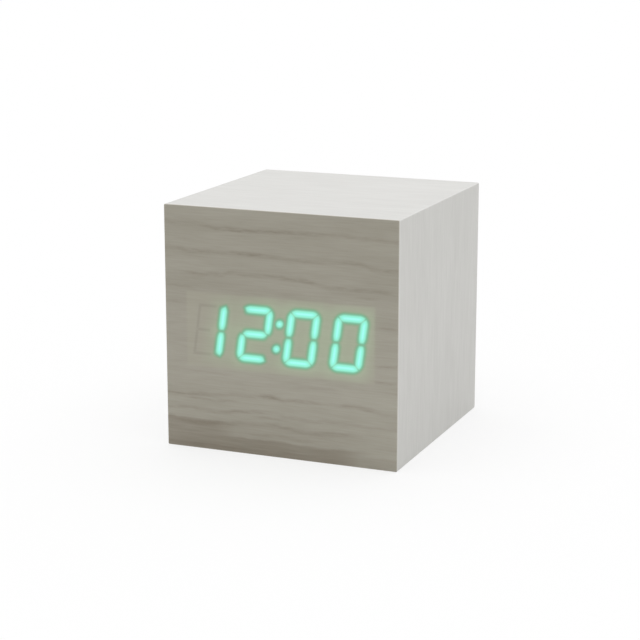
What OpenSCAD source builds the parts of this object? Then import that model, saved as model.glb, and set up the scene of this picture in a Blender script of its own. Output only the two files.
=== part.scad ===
// Wooden cube alarm clock: a veneered box with a seven-segment display behind its front.
// The front faces -Y, the base stands on Z = 0 and the origin is the middle of the base.

/* [Case] */
// Width of the cube, left to right
body_w = 63.5; // [57:0.5:80]
// Depth of the cube, front to back
body_d = 63.5; // [57:0.5:80]
// Height of the cube
body_h = 63.5; // [57:0.5:80]
// Thickness of the wood veneer
veneer_t = 0.5; // [0.4:0.1:0.8]
// Thickness of the boards under the veneer
board_t = 4; // [3.5:0.25:4.5]
// Side of the square glue blocks in the rear corners
block_w = 9; // [7:0.5:10]
// Gap between the glue blocks and the battery tray
block_gap = 2.1; // [0.5:0.1:3]
// Gap round the removable rear panel
rear_gap = 0.15; // [0.1:0.05:0.3]

/* [Display] */
// Width of the front board left beside the display's window
window_edge = 1.9; // [1.2:0.1:4]
// Height of the display housing
reflector_h = 19; // [17:0.5:20]
// Depth of the display housing
reflector_t = 8; // [7:0.5:9]
// Gap between the housing and the window in the front board
window_gap = 0.2; // [0.1:0.05:0.4]
// Distance from the middle of an end digit to the end of the housing
digit_edge = 6.1; // [5.6:0.1:7]
// Sideways place of the digits in the housing
digits_side = -0.3; // [-0.5:0.05:0.5]
// Height of a digit
digit_h = 14.5; // [12:0.1:15]
// Width of a digit
digit_w = 8.6; // [7:0.1:8.8]
// Lean of the digits, in degrees
digit_slant = 8; // [0:1:10]
// Width of a segment
segment_w = 1.8; // [1.2:0.05:2]
// Gap between two segments
segment_gap = 0.35; // [0.2:0.05:0.6]
// Height between the upper and the lower upright segments
waist_gap = 1; // [0.6:0.05:1.2]
// Distance that the middle segment stays short of the upright ones at each end
middle_inset = 0.25; // [0:0.05:0.5]
// Radius of a digit's outer corners
digit_round = 1.7; // [0.6:0.05:2]
// Depth of a cast segment
segment_t = 6.5; // [5:0.25:7]
// Diameter of a colon dot
dot_d = 1.8; // [1.2:0.1:2.2]
// Distance between the two colon dots
dot_pitch = 6.5; // [5:0.1:8]
// Gap round a cast colon dot
dot_gap = 0.05; // [0.02:0.01:0.1]
// Width of a light-emitting chip
chip_w = 0.8; // [0.5:0.1:1]
// Thickness of a light-emitting chip
chip_t = 0.3; // [0.2:0.1:0.6]
// Gap between the display's circuit board and the side boards
display_side_gap = 1.25; // [0.5:0.25:2]
// Distance from the end of that board to its screws
display_screw_inset = 4.5; // [3:0.25:6]
// Distance from the upper and lower edges of that board to its screws
display_margin = 2; // [1.6:0.1:3]
// Diameter of the spacers under that board
standoff_d = 4; // [3.6:0.1:4.5]
// Gap between a spacer and the display housing
standoff_gap = 0.3; // [0.1:0.1:1]

/* [Main board] */
// Thickness of both circuit boards
pcb_t = 1.6; // [1:0.1:2]
// Distance from a boss to the end of the main board
main_margin = 3.5; // [2:0.25:5]
// Height of the main board above the middle of the controls
main_up = 12.5; // [12:0.5:14]
// Height of the main board below the middle of the controls
main_down = 16.5; // [16:0.5:18]
// Distance from the middle of the controls to the buzzer, to the left
buzzer_left = 11.5; // [11:0.25:12]
// Height of the buzzer above the middle of the controls
buzzer_up = 1; // [0:0.25:1.25]
// Diameter of the alarm buzzer
buzzer_d = 12; // [9:0.5:12]
// Height of the alarm buzzer
buzzer_h = 8.5; // [5:0.5:9]
// Distance from the middle of the controls to the coin cell, to the right
coin_right = 7.5; // [7:0.25:8]
// Height of the coin cell above the middle of the controls
coin_up = 1.5; // [0:0.25:1.5]
// Diameter of the back-up coin cell
coin_d = 20; // [16:0.5:20]
// Thickness of the back-up coin cell
coin_t = 3.2; // [1.6:0.1:3.2]
// Wall and floor of the coin cell's holder
holder_wall = 1; // [0.8:0.1:1.2]
// Gap between the coin cell and its holder
coin_gap = 0.2; // [0.1:0.05:0.3]
// Distance from the middle of the controls to the controller chip, to the left
controller_left = 12; // [10:0.25:13]
// Depth of the controller chip below the middle of the controls
controller_down = 10; // [9.5:0.25:12]
// Length of the controller chip
controller_w = 8; // [6:0.5:10]
// Width of the controller chip
controller_h = 4; // [3:0.5:5]
// Thickness of the controller chip
controller_t = 1.7; // [1:0.1:2.5]
// Distance from leg to leg of the controller chip
leg_pitch = 1.27; // [0.8:0.01:1.5]
// Width and thickness of a leg
leg_w = 0.4; // [0.2:0.05:0.5]
// Length of a leg beyond the controller chip
leg_len = 1; // [0.5:0.1:1.5]
// Distance from the middle of the controls to the clock crystal, to the left
crystal_left = 19.5; // [19:0.25:21]
// Diameter of the clock crystal
crystal_d = 2; // [1.5:0.1:3]
// Length of the clock crystal
crystal_len = 6; // [5:0.5:8]
// Gap under the clock crystal
crystal_gap = 0.05; // [0.02:0.01:0.1]
// Distance from the middle of the controls to the capacitor, to the right
capacitor_right = 14; // [9:0.25:16]
// Diameter of the capacitor
capacitor_d = 5; // [4:0.5:6]
// Height of the capacitor
capacitor_h = 7; // [5:0.5:11]
// Diameter of the buzzer's sound hole
sound_hole_d = 2; // [1:0.1:3]
// Depth of the buzzer's sound hole
sound_hole_depth = 1.5; // [1:0.1:3]
// Distance from the middle of the controls to the flat cable, to the left
ribbon_left = 9; // [8.5:0.25:10]
// Height of the flat cable's connector above the middle of the controls
ribbon_up = 10.5; // [10.5:0.25:11]
// Depth of the battery connector below the middle of the controls
battery_socket_down = 13.5; // [13:0.25:14]
// Depth of the cable connectors
socket_t = 5; // [4:0.5:6]
// Height of the flat cable's connectors
socket_h = 4; // [3:0.5:4.5]
// Width of those connectors beyond each edge of the flat cable
socket_lip = 1; // [0.5:0.1:1.5]
// Distance from the display's connector to the upper edge of its board
display_socket_drop = 5.5; // [4:0.25:8]
// Width of the battery connector
battery_socket_w = 8; // [6:0.5:10]
// Height of the battery connector
battery_socket_h = 5; // [4:0.5:5]
// Width of the flat cable between the boards
ribbon_w = 10; // [6:0.5:11]
// Thickness of the flat cable
ribbon_t = 1; // [0.6:0.1:1.4]
// Sag of the flat cable
ribbon_sag = 6; // [0:0.5:8]

/* [Controls] */
// Height of the controls above the middle of the case
controls_up = 2.25; // [1.5:0.25:3]
// Height of the control plate's face
plate_h = 13; // [12:0.5:14]
// Corner radius of the control plate's face
plate_r = 2.5; // [2:0.25:4]
// Thickness of the control plate
plate_t = 1.5; // [1:0.25:2]
// Depth of the face below the rear of the case
plate_recess = 1; // [0.5:0.25:1.5]
// Gap between the plate and the opening in the rear panel
plate_gap = 0.1; // [0.05:0.05:0.2]
// Wall round the hollow behind the plate's face
plate_wall = 1.5; // [1:0.1:2]
// Corner radius of that hollow
hollow_r = 0.6; // [0.3:0.1:0.9]
// Width, beyond each end of the plate, of the flange glued behind the rear panel
flange_lip = 2; // [1:0.25:3]
// Height of that flange
flange_h = 24; // [23:0.5:26]
// Diameter of the bosses that carry the main board
boss_d = 5; // [4:0.5:6]
// Distance from an end of the flange to a boss
boss_end = 4; // [3:0.25:5]
// Distance from the upper or lower edge of the flange to a boss
boss_edge = 3; // [2.5:0.25:4]
// Length of a main board screw in its boss
boss_bite = 4; // [3:0.25:5]
// Diameter of a key cap
cap_d = 5.6; // [4.5:0.1:6]
// Height of a key cap above the control plate
cap_proud = 0.7; // [0.5:0.1:0.9]
// Diameter of the rim that holds a key cap in
rim_d = 7; // [6.6:0.1:8]
// Thickness of that rim
rim_t = 1; // [0.6:0.1:1.4]
// Diameter of a key's stem
stem_d = 3; // [2:0.1:3.4]
// Length of a key's stem
stem_len = 1.1; // [0.8:0.1:2]
// Distance from key to key
key_pitch = 9; // [8.5:0.1:9.2]
// Radial gap of a key in its hole
key_gap = 0.1; // [0.05:0.01:0.15]
// Gap between a key's rim and the back of the plate
key_lift = 0.1; // [0.05:0.05:0.2]
// Travel of a key
key_travel = 0.4; // [0.2:0.05:0.5]
// Width of a switch's body
switch_w = 6; // [5:0.5:6]
// Height of a switch's body
switch_body_h = 3.5; // [3:0.1:3.5]
// Height of a switch with its plunger
switch_h = 5; // [4.3:0.1:6]
// Diameter of a switch's plunger
plunger_d = 3.4; // [3:0.1:3.6]
// Length of the plunger inside the switch's body
plunger_in = 1; // [0.6:0.1:1.4]
// Width of the power jack's foot
jack_w = 8; // [7.5:0.5:8]
// Gap between the power jack's foot and the next switch
jack_side_gap = 0.5; // [0.2:0.1:1]
// Distance from the middle of the power jack to the end of the plate
jack_edge = 5.5; // [5:0.25:6.5]
// Diameter of the power jack's nose
jack_d = 6.4; // [5.5:0.1:7]
// Depth of the power jack's nose below the plate's face
jack_sink = 0.5; // [0.2:0.1:1]
// Gap round the power jack's nose, and between its foot and the flange
jack_gap = 0.2; // [0.1:0.05:0.3]
// Diameter of the power jack's bore
jack_bore_d = 3.8; // [3.5:0.1:4.2]
// Depth of the power jack's bore
jack_bore_len = 7.5; // [6:0.1:7.5]
// Diameter of the power jack's pin
jack_pin_d = 1.3; // [1:0.05:1.7]
// Depth of the power jack's pin below the end of its nose
jack_pin_sink = 1; // [0.5:0.1:2]
// Diameter of the microphone
mic_d = 6; // [4:0.5:6.5]
// Diameter of the hole in front of the microphone
mic_hole_d = 1.5; // [1:0.1:2.5]

/* [Battery compartment] */
// Diameter of a battery cell
cell_d = 10.5; // [9.5:0.1:10.8]
// Gap between the battery tray and the side boards
tray_side_gap = 1.35; // [0.5:0.05:3]
// Diameter of the cell's raised end
nub_d = 3.8; // [3:0.1:5]
// Height of the cell's raised end
nub_len = 1.2; // [0.8:0.1:1.6]
// Gap round a cell
cell_gap = 0.2; // [0.1:0.05:0.25]
// Length of a contact spring under load
spring_len = 4.1; // [3.5:0.1:4.5]
// Diameter of the contact spring's wire
spring_wire_d = 0.6; // [0.4:0.05:0.7]
// Diameter of the contact spring at the plate
spring_d = 7.2; // [6:0.1:8]
// Diameter of the contact spring at the cell
spring_tip_d = 4.4; // [3:0.1:6]
// Turns of a contact spring
spring_turns = 3; // [2:1:4]
// Thickness of a contact plate
contact_t = 0.4; // [0.3:0.05:0.5]
// Width and height of a contact plate
contact_w = 8; // [6:0.5:9]
// Width of a solder tab
tab_w = 2.5; // [1.5:0.1:3]
// Height of a solder tab above the tray
tab_h = 2.2; // [1.5:0.1:3]
// Gap round a solder tab in its slot
tab_gap = 0.1; // [0.05:0.01:0.2]
// Wall of the battery tray
tray_wall = 1.2; // [1:0.1:1.5]
// Thickness of the ribs between the cells
rib_t = 0.6; // [0.4:0.1:0.8]
// Distance that those ribs stop short of the springs
rib_back = 1; // [0.5:0.1:3]
// Width of the ledge that stops the door
ledge_w = 1; // [0.6:0.1:1.2]
// Gap between the tray and the opening in the base
tray_gap = 0.2; // [0.1:0.05:0.3]
// Depth of the tray's rim below the base's face
tray_recess = 0.3; // [0.2:0.05:0.5]
// Width of a fixing ear
ear_w = 8; // [6:0.5:10]
// Length of a fixing ear
ear_len = 4.5; // [4:0.1:5.4]
// Thickness of a fixing ear
ear_t = 2; // [1.5:0.25:3]
// Gap between a fixing ear and the glue block beside it
ear_side_gap = 2.25; // [0.5:0.25:4]
// Gap between the front ears and the front board
ear_gap = 0.6; // [0.2:0.1:1]
// Thickness of the battery door
door_t = 1.8; // [1.4:0.1:2.2]
// Depth of the door below the tray's rim
door_recess = 0.3; // [0.1:0.05:0.5]
// Gap round the door
door_gap = 0.2; // [0.15:0.05:0.3]
// Gap between the door and its ledge
door_lift = 0.1; // [0.05:0.05:0.2]
// Width of the door's thumb scoop
scoop_w = 16; // [12:0.5:20]
// Depth of the thumb scoop
scoop_depth = 0.7; // [0.4:0.1:1]
// Diameter of the cutter that makes the thumb scoop
scoop_d = 14; // [10:0.5:20]
// Distance from the middle of the thumb scoop to the door's free edge
scoop_edge = 6; // [5:0.25:9]
// Diameter of the door's hinge pins
hinge_d = 1.2; // [0.9:0.1:1.4]
// Length of the hinge pins inside the tray's walls
hinge_len = 0.8; // [0.5:0.1:0.9]
// Radial gap of the hinge pins
hinge_gap = 0.05; // [0.03:0.01:0.1]
// Diameter of the battery wires
wire_d = 1.4; // [1:0.1:1.6]
// Gap between the battery wires at their connector
wire_gap = 1.6; // [0.6:0.1:3]
// Length over which a battery wire rises from its tab
wire_rise_len = 9; // [6:0.5:12]
// Length over which a battery wire runs into its connector
wire_run_len = 14; // [10:0.5:18]

/* [Screws] */
// Diameter of the small screws
screw_d = 2; // [1.6:0.1:2.2]
// Diameter of a small screw's head
head_d = 3.8; // [3:0.1:4]
// Height of a small screw's head
head_h = 1.4; // [1:0.1:1.8]
// Length of a small screw in what it bites into
bite = 3; // [2:0.25:3.25]
// Width of the slots of a screw's cross recess
recess_w = 0.6; // [0.4:0.1:0.8]
// Diameter of the cross recess
recess_d = 2.3; // [1.6:0.1:2.5]
// Depth of the cross recess
recess_depth = 0.7; // [0.4:0.1:0.8]
// Diameter of the rear panel's screws
rear_screw_d = 2.2; // [1.8:0.1:2.6]
// Diameter of their countersunk heads
rear_head_d = 4.6; // [4:0.1:5.2]
// Depth of those heads below the veneer
rear_screw_sink = 0.1; // [0.05:0.05:0.2]
// Wood left between the tip of a rear screw and the end of its glue block
rear_screw_cover = 1.4; // [0.6:0.1:3]
// Depth of a screw's hole past its tip
tip_room = 0.3; // [0.1:0.1:0.5]
// Radial gap of a screw in the hole it bites into
thread_gap = 0.05; // [0.02:0.01:0.1]
// Radial gap of a screw in a clear hole
clear_gap = 0.2; // [0.1:0.05:0.3]

/* [Hidden] */
$fn = 48;
over = 1;                 // how far a cut runs past the face it opens
wall_t = veneer_t + board_t;
half_w = body_w / 2;
in_x = half_w - wall_t;
floor_z = wall_t;
roof_z = body_h - wall_t;
mid_z = body_h / 2;
front_y = -body_d / 2;
front_seat = front_y + veneer_t;
front_in = front_seat + board_t;
rear_y = body_d / 2;
rear_seat = rear_y - veneer_t;
rear_in = rear_seat - board_t;

// Display: housing against the front veneer, its board behind it on four spacers
reflector_w = 2 * (in_x - window_edge - window_gap);
reflector_back = front_seat + reflector_t;
display_back = reflector_back + pcb_t;
display_board_w = 2 * (in_x - display_side_gap);
display_screw_x = display_board_w / 2 - display_screw_inset;
display_screw_z = reflector_h / 2 + standoff_gap + standoff_d / 2;
display_board_h = 2 * (display_screw_z + display_margin);
display_screw_at = [for (x = [-1, 1], z = [-1, 1]) [x * display_screw_x, mid_z + z * display_screw_z]];
digits = 4;
digit_pitch = (reflector_w - 2 * digit_edge) / (digits - 1);
digit_x = [for (k = [0:digits - 1]) digits_side + (k - (digits - 1) / 2) * digit_pitch];
column = (digit_w - segment_w) / 2;
row = (digit_h - segment_w) / 2;
mitre = segment_gap / sqrt(2);
// Turn along a digit's round corner from the straight side to the mitre
corner_turn = 45 - asin(segment_gap / (2 * digit_round));
corner_steps = 4;
// Segments a to g of an upright digit: centre
segment_at = [[0, row], [column, row / 2], [column, -row / 2], [0, -row],
    [-column, -row / 2], [-column, row / 2], [0, 0]];

// Controls: plate in the rear panel, keys behind it, main board on the plate's bosses
plate_z = mid_z + controls_up;
plate_face = rear_y - plate_recess;
plate_back = plate_face - plate_t;
flange_front = rear_in - plate_t;
rim_back = plate_back - key_lift - rim_t;
stem_end = rim_back - stem_len;
main_rear = stem_end - switch_h;
main_front = main_rear - pcb_t;
switch_top = main_rear + switch_body_h;
key_x = [key_pitch, 0, -key_pitch];
jack_x = key_pitch + (switch_w + jack_w) / 2 + jack_side_gap;
jack_end = plate_face - jack_sink;
jack_floor = jack_end - jack_bore_len;
plate_w = 2 * (jack_x + jack_edge);
plug_w = plate_w - 2 * plate_gap;
plug_h = plate_h - 2 * plate_gap;
flange_w = plate_w + 2 * flange_lip;
boss_x = flange_w / 2 - boss_end;
boss_z = flange_h / 2 - boss_edge;
boss_at = [for (x = [-1, 1], z = [-1, 1]) [x * boss_x, plate_z + z * boss_z]];

// Places on the main board's inner face
main_w = 2 * (boss_x + main_margin);
coin_at = [coin_right, plate_z + coin_up];
buzzer_at = [-buzzer_left, plate_z + buzzer_up];
ribbon_at = [-ribbon_left, plate_z + ribbon_up];
controller_at = [-controller_left, plate_z - controller_down];
crystal_at = [-crystal_left, plate_z];
battery_socket_at = [0, plate_z - battery_socket_down];
capacitor_at = [capacitor_right, battery_socket_at[1]];
holder_d = coin_d + 2 * (coin_gap + holder_wall);
holder_t = holder_wall + coin_t + coin_gap;
socket_w = ribbon_w + 2 * socket_lip;
display_socket_at = [ribbon_at[0], mid_z + display_board_h / 2 - display_socket_drop];

// Battery compartment: cells lie left to right, side by side from front to rear. The tray fills the
// case's width, and the cells fill the tray
bays = [0, 1, 2];
last_bay = len(bays) - 1;
bay_w = cell_d + 2 * cell_gap;
bays_w = len(bays) * bay_w + last_bay * rib_t;
tray_x = in_x - tray_side_gap;
bay_len = 2 * (tray_x - tray_wall);
cell_len = bay_len - spring_len - 2 * contact_t;
mouth_w = bays_w + 2 * ledge_w;
tray_front = front_in + ear_gap + ear_len;
tray_rear = tray_front + mouth_w + 2 * tray_wall;
tray_mid = (tray_front + tray_rear) / 2;
door_z = tray_recess + door_recess;
ledge_z = door_z + door_t + door_lift;
cell_z = ledge_z + cell_gap + cell_d / 2;
ceiling_z = cell_z + cell_d / 2 + cell_gap;
tray_top = ceiling_z + tray_wall;
rib_stop = spring_len + contact_t + rib_back;
contact_x = (bay_len - contact_t) / 2;
hinge_y = tray_front + tray_wall + door_gap + door_t / 2;
hinge_z = door_z + door_t / 2;
door_rear = tray_rear - tray_wall - door_gap;
door_x = bay_len / 2 - door_gap;
ear_x = in_x - block_w - ear_side_gap - ear_w / 2;
ear_screw_at = [for (x = [-1, 1], y = [tray_front - ear_len / 2, tray_rear + ear_len / 2]) [x * ear_x, y]];
// The end at which each cell's raised end lies: 1 is the right
cell_way = [1, -1, 1];

// Glue blocks fill the space behind the tray, and the rear screws fill the blocks
block_len = rear_in - tray_rear - block_gap;
rear_screw_at = [for (x = [-1, 1], z = [floor_z + block_w / 2, roof_z - block_w / 2])
    [x * (in_x - block_w / 2), z]];
rear_head_y = rear_y - rear_screw_sink;
rear_screw_len = rear_head_y - rear_in + block_len - rear_screw_cover;
rear_cone = (rear_head_d - rear_screw_d) / 2;

pale_wood = "#dedcd6";
front_wood = "#a8a493";
fibreboard = "#b59a74";
black_plastic = "#232425";
circuit_green = "#1f6b45";
steel = "#b9bcbf";
lit_green = "#6cf2c6";
nylon = "#e9e6da";

// Helpers: a span round a middle, outlines drawn along an axis, boxes and rods
function around(middle, size) = [middle - size / 2, middle + size / 2];
function unit(v) = v / norm(v);

module along_x(x) {
    translate([x[0], 0, 0]) rotate([90, 0, 90]) linear_extrude(x[1] - x[0]) children();
}

module along_y(y) {
    translate([0, y[1], 0]) rotate([90, 0, 0]) linear_extrude(y[1] - y[0]) children();
}

module box(x, y, z) {
    translate([x[0], y[0], z[0]]) cube([x[1] - x[0], y[1] - y[0], z[1] - z[0]]);
}

module flat_box(x, z) {
    translate([x[0], z[0]]) square([x[1] - x[0], z[1] - z[0]]);
}

module rod_x(x, at, d) {
    translate([x[0], at[0], at[1]]) rotate([0, 90, 0]) cylinder(h = x[1] - x[0], d = d);
}

module rod_y(y, at, d) {
    translate([at[0], y[1], at[1]]) rotate([90, 0, 0]) cylinder(h = y[1] - y[0], d = d);
}

module rod_z(z, at, d) {
    translate([at[0], at[1], z[0]]) cylinder(h = z[1] - z[0], d = d);
}

function round_rect(w, h, r, steps = 6) = [for (q = [0:3], k = [0:steps])
    let (a = 90 * (q + k / steps), side = q == 0 || q == 3 ? 1 : -1, level = q < 2 ? 1 : -1)
    [side * (w / 2 - r) + r * cos(a), level * (h / 2 - r) + r * sin(a)]];

// A tube through rings of points, all with the same number of sides
module tube(rings) {
    sides = len(rings[0]);
    last = len(rings) - 1;
    skin = [for (i = [0:last - 1], k = [0:sides - 1])
        let (a = i * sides + k, b = i * sides + (k + 1) % sides)
        each [[a, b, b + sides], [a, b + sides, a + sides]]];
    near_end = [for (k = [1:sides - 2]) [0, k + 1, k]];
    first = last * sides;
    far_end = [for (k = [1:sides - 2]) [first, first + k, first + k + 1]];
    polyhedron([for (r = rings) each r], concat(skin, near_end, far_end));
}

function ring(middle, way, side, d, sides) = let (u = unit(cross(way, side)), v = cross(way, u))
    [for (k = [0:sides - 1]) middle + d / 2 * (cos(360 * k / sides) * u - sin(360 * k / sides) * v)];

// Screws stand on Z = 0, with the shank below and the head above, or sunk in for the countersunk one
module cross_recess() {
    for (turn = [0, 90]) rotate(turn)
        box(around(0, recess_d), around(0, recess_w), [-recess_depth, over]);
}

module pan_screw(length) {
    difference() {
        cylinder(h = head_h, d = head_d);
        translate([0, 0, head_h]) cross_recess();
    }
    translate([0, 0, -length]) cylinder(h = length, d = screw_d);
}

module countersunk_screw(length) {
    difference() {
        union() {
            translate([0, 0, -rear_cone]) cylinder(h = rear_cone, d1 = rear_screw_d, d2 = rear_head_d);
            translate([0, 0, -length]) cylinder(h = length - rear_cone, d = rear_screw_d);
        }
        cross_recess();
    }
}

// Case: layers of the four sides, mitred at the corners. Side 0 is the base, then right, top, left
function case_corners(depth) = [[-half_w + depth, depth], [half_w - depth, depth],
    [half_w - depth, body_h - depth], [-half_w + depth, body_h - depth]];

module case_layer(side, outer, inner) {
    next = (side + 1) % 4;
    along_y([front_seat, rear_seat]) polygon([case_corners(outer)[side], case_corners(outer)[next],
        case_corners(inner)[next], case_corners(inner)[side]]);
}

module case_veneer(side) {
    color(pale_wood) case_layer(side, 0, veneer_t);
}

module case_board(side) {
    color(fibreboard) case_layer(side, veneer_t, wall_t);
}

module top_veneer() {
    case_veneer(2);
}

module top_board() {
    case_board(2);
}

module left_veneer() {
    case_veneer(3);
}

module left_board() {
    case_board(3);
}

module right_veneer() {
    case_veneer(1);
}

module right_board() {
    case_board(1);
}

module tray_opening() {
    box(around(0, 2 * (tray_x + tray_gap)), [tray_front - tray_gap, tray_rear + tray_gap],
        [-over, floor_z + over]);
}

module front_veneer() {
    color(front_wood) along_y([front_y, front_seat]) flat_box([-half_w, half_w], [0, body_h]);
}

module front_board() {
    color(fibreboard) difference() {
        along_y([front_seat, front_in]) difference() {
            flat_box([-in_x, in_x], [floor_z, roof_z]);
            flat_box(around(0, reflector_w + 2 * window_gap), around(mid_z, reflector_h + 2 * window_gap));
        }
        for (at = display_screw_at)
            rod_y([front_in - bite - tip_room, front_in + over], at, screw_d + 2 * thread_gap);
    }
}

module base_veneer() {
    color(pale_wood) difference() {
        case_veneer(0);
        tray_opening();
    }
}

module base_board() {
    color(fibreboard) difference() {
        case_board(0);
        tray_opening();
        for (at = ear_screw_at)
            rod_z([floor_z - bite - tip_room, floor_z + over], at, screw_d + 2 * thread_gap);
    }
}

module rear_edge_veneer() {
    color(pale_wood) along_y([rear_seat, rear_y]) difference() {
        flat_box([-half_w, half_w], [0, body_h]);
        flat_box([-in_x, in_x], [floor_z, roof_z]);
    }
}

// A layer of the removable rear panel, with the controls' opening and the countersunk holes
module rear_layer(y) {
    difference() {
        along_y(y) difference() {
            flat_box(around(0, 2 * (in_x - rear_gap)), [floor_z + rear_gap, roof_z - rear_gap]);
            translate([0, plate_z]) polygon(round_rect(plate_w, plate_h, plate_r));
        }
        for (at = rear_screw_at) {
            rod_y([rear_in - over, rear_y + over], at, rear_screw_d + 2 * clear_gap);
            translate([at[0], rear_head_y - rear_cone, at[1]]) rotate([-90, 0, 0])
                cylinder(h = rear_cone, d1 = rear_screw_d + 2 * thread_gap,
                    d2 = rear_head_d + 2 * thread_gap);
            rod_y([rear_head_y, rear_y + over], at, rear_head_d + 2 * thread_gap);
        }
    }
}

module rear_veneer() {
    color(pale_wood) rear_layer([rear_seat, rear_y]);
}

module rear_board() {
    color(fibreboard) rear_layer([rear_in, rear_seat]);
}

module corner_blocks() {
    tip = rear_head_y - rear_screw_len - tip_room;
    color(fibreboard) for (at = rear_screw_at) difference() {
        box(around(at[0], block_w), [rear_in - block_len, rear_in], around(at[1], block_w));
        rod_y([tip, rear_in + over], at, rear_screw_d + 2 * thread_gap);
    }
}

module rear_screws() {
    color(steel) for (at = rear_screw_at)
        translate([at[0], rear_head_y, at[1]]) rotate([-90, 0, 0])
            countersunk_screw(rear_screw_len);
}

// Display: outlines of the segments of one digit, and of the colon
function leaning(p) = [p[0] + p[1] * tan(digit_slant), p[1]];

function mirrored(points, way) = [for (p = points) [p[0] * way[0], p[1] * way[1]]];

// The round of the upper right corner, from the upper side to the mitre or from the right side to it
function corner_arc(from_side) = [for (i = [0:corner_steps]) let (turn = corner_turn * i / corner_steps,
        near = digit_round * (1 - sin(turn)), far = digit_round * (1 - cos(turn)))
    [digit_w / 2 - (from_side ? far : near), digit_h / 2 - (from_side ? near : far)]];

// The upper segment is mitred at both ends
function upper_segment() = let (h = segment_w / 2,
        end = concat(corner_arc(false), [[column - mitre - h, row - h]]))
    concat(end, [for (i = [len(end) - 1:-1:0]) [-end[i][0], end[i][1]]]);

// The upper right segment has a mitre above and a blunt point below
function upright_segment() = let (h = segment_w / 2, tip = waist_gap / 2, cut = mitre - middle_inset)
    concat([[column + tip - cut, tip], [column + h, h + cut]], corner_arc(true),
        [[column - h, row - mitre - h], [column - h, h + cut], [column - tip + cut, tip]]);

// The middle segment is pointed at both ends
function middle_segment() = let (h = segment_w / 2, l = column - mitre - middle_inset)
    [[-l, 0], [h - l, h], [l - h, h], [l, 0], [l - h, -h], [h - l, -h]];

// Segments a to g
function segment_outline(k) = [for (p = [
        upper_segment(), upright_segment(), mirrored(upright_segment(), [1, -1]),
        mirrored(upper_segment(), [1, -1]), mirrored(upright_segment(), [-1, -1]),
        mirrored(upright_segment(), [-1, 1]), middle_segment()][k]) leaning(p)];

function dot_at(side) = [digits_side, 0] + leaning([0, side * dot_pitch / 2]);

module digit_outline(digit) {
    translate([digit_x[digit], mid_z]) for (k = [0:6]) polygon(segment_outline(k));
}

module digit_segments(digit) {
    color(lit_green) along_y([front_seat, front_seat + segment_t]) digit_outline(digit);
}

module hour_tens_segments() {
    digit_segments(0);
}

module hour_units_segments() {
    digit_segments(1);
}

module minute_tens_segments() {
    digit_segments(2);
}

module minute_units_segments() {
    digit_segments(3);
}

module colon_dots() {
    color(lit_green) for (side = [-1, 1])
        rod_y([front_seat, front_seat + segment_t], [0, mid_z] + dot_at(side), dot_d);
}

module display_reflector() {
    color("#c6cabd") along_y([front_seat, reflector_back]) difference() {
        flat_box(around(0, reflector_w), around(mid_z, reflector_h));
        for (digit = [0:digits - 1]) digit_outline(digit);
        for (side = [-1, 1])
            translate([0, mid_z] + dot_at(side)) circle(d = dot_d + 2 * dot_gap);
    }
}

module display_led_chips() {
    places = concat([for (x = digit_x, p = segment_at) [x, mid_z] + leaning(p)],
        [for (side = [-1, 1]) [0, mid_z] + dot_at(side)]);
    color("#e8e37a") for (at = places)
        box(around(at[0], chip_w), [reflector_back - chip_t, reflector_back], around(at[1], chip_w));
}

module display_board() {
    color(circuit_green) difference() {
        box(around(0, display_board_w), [reflector_back, display_back], around(mid_z, display_board_h));
        for (at = display_screw_at)
            rod_y([reflector_back - over, display_back + over], at, screw_d + 2 * clear_gap);
    }
}

module display_standoffs() {
    color(nylon) for (at = display_screw_at) difference() {
        rod_y([front_in, reflector_back], at, standoff_d);
        rod_y([front_in - over, reflector_back + over], at, screw_d + 2 * clear_gap);
    }
}

module display_screws() {
    color(steel) for (at = display_screw_at)
        translate([at[0], display_back, at[1]]) rotate([-90, 0, 0])
            pan_screw(display_back - front_in + bite);
}

module display_socket() {
    color(nylon) box(around(display_socket_at[0], socket_w), [display_back, display_back + socket_t],
        around(display_socket_at[1], socket_h));
}

// The flat cable leaves both sockets level and sags between them
ribbon_ends = [[display_back + socket_t, display_socket_at[1]], [main_front - socket_t, ribbon_at[1]]];

function ribbon_point(s) = [ribbon_ends[0][0] + (ribbon_ends[1][0] - ribbon_ends[0][0]) * s,
    ribbon_ends[0][1] + (ribbon_ends[1][1] - ribbon_ends[0][1]) * (3 * s * s - 2 * s * s * s)
        - ribbon_sag * pow(sin(180 * s), 2)];

function ribbon_edge(s, side) = let (step = 0.001,
        way = unit(ribbon_point(s + step) - ribbon_point(s - step)))
    ribbon_point(s) + side * ribbon_t / 2 * [-way[1], way[0]];

module ribbon_cable() {
    steps = 24;
    color("#8d9094") along_x(around(ribbon_at[0], ribbon_w)) polygon(concat(
        [for (i = [0:steps]) ribbon_edge(i / steps, -1)],
        [for (i = [steps:-1:0]) ribbon_edge(i / steps, 1)]));
}

// Main board, with what stands on its inner face
module on_main(at, w, h, t) {
    box(around(at[0], w), [main_front - t, main_front], around(at[1], h));
}

module main_board() {
    color(circuit_green) difference() {
        box(around(0, main_w), [main_front, main_rear], [plate_z - main_down, plate_z + main_up]);
        for (at = boss_at)
            rod_y([main_front - over, main_rear + over], at, screw_d + 2 * clear_gap);
    }
}

module main_board_screws() {
    color(steel) for (at = boss_at)
        translate([at[0], main_front, at[1]]) rotate([90, 0, 0]) pan_screw(pcb_t + boss_bite);
}

module controller_chip() {
    legs = 5;
    color(black_plastic) on_main(controller_at, controller_w, controller_h, controller_t);
    color(steel) for (k = [0:legs - 1])
        on_main(controller_at + [(k - (legs - 1) / 2) * leg_pitch, 0], leg_w,
            controller_h + 2 * leg_len, leg_w);
}

module clock_crystal() {
    middle_y = main_front - crystal_gap - crystal_d / 2;
    color(steel) rod_z(around(crystal_at[1], crystal_len), [crystal_at[0], middle_y], crystal_d);
}

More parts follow.
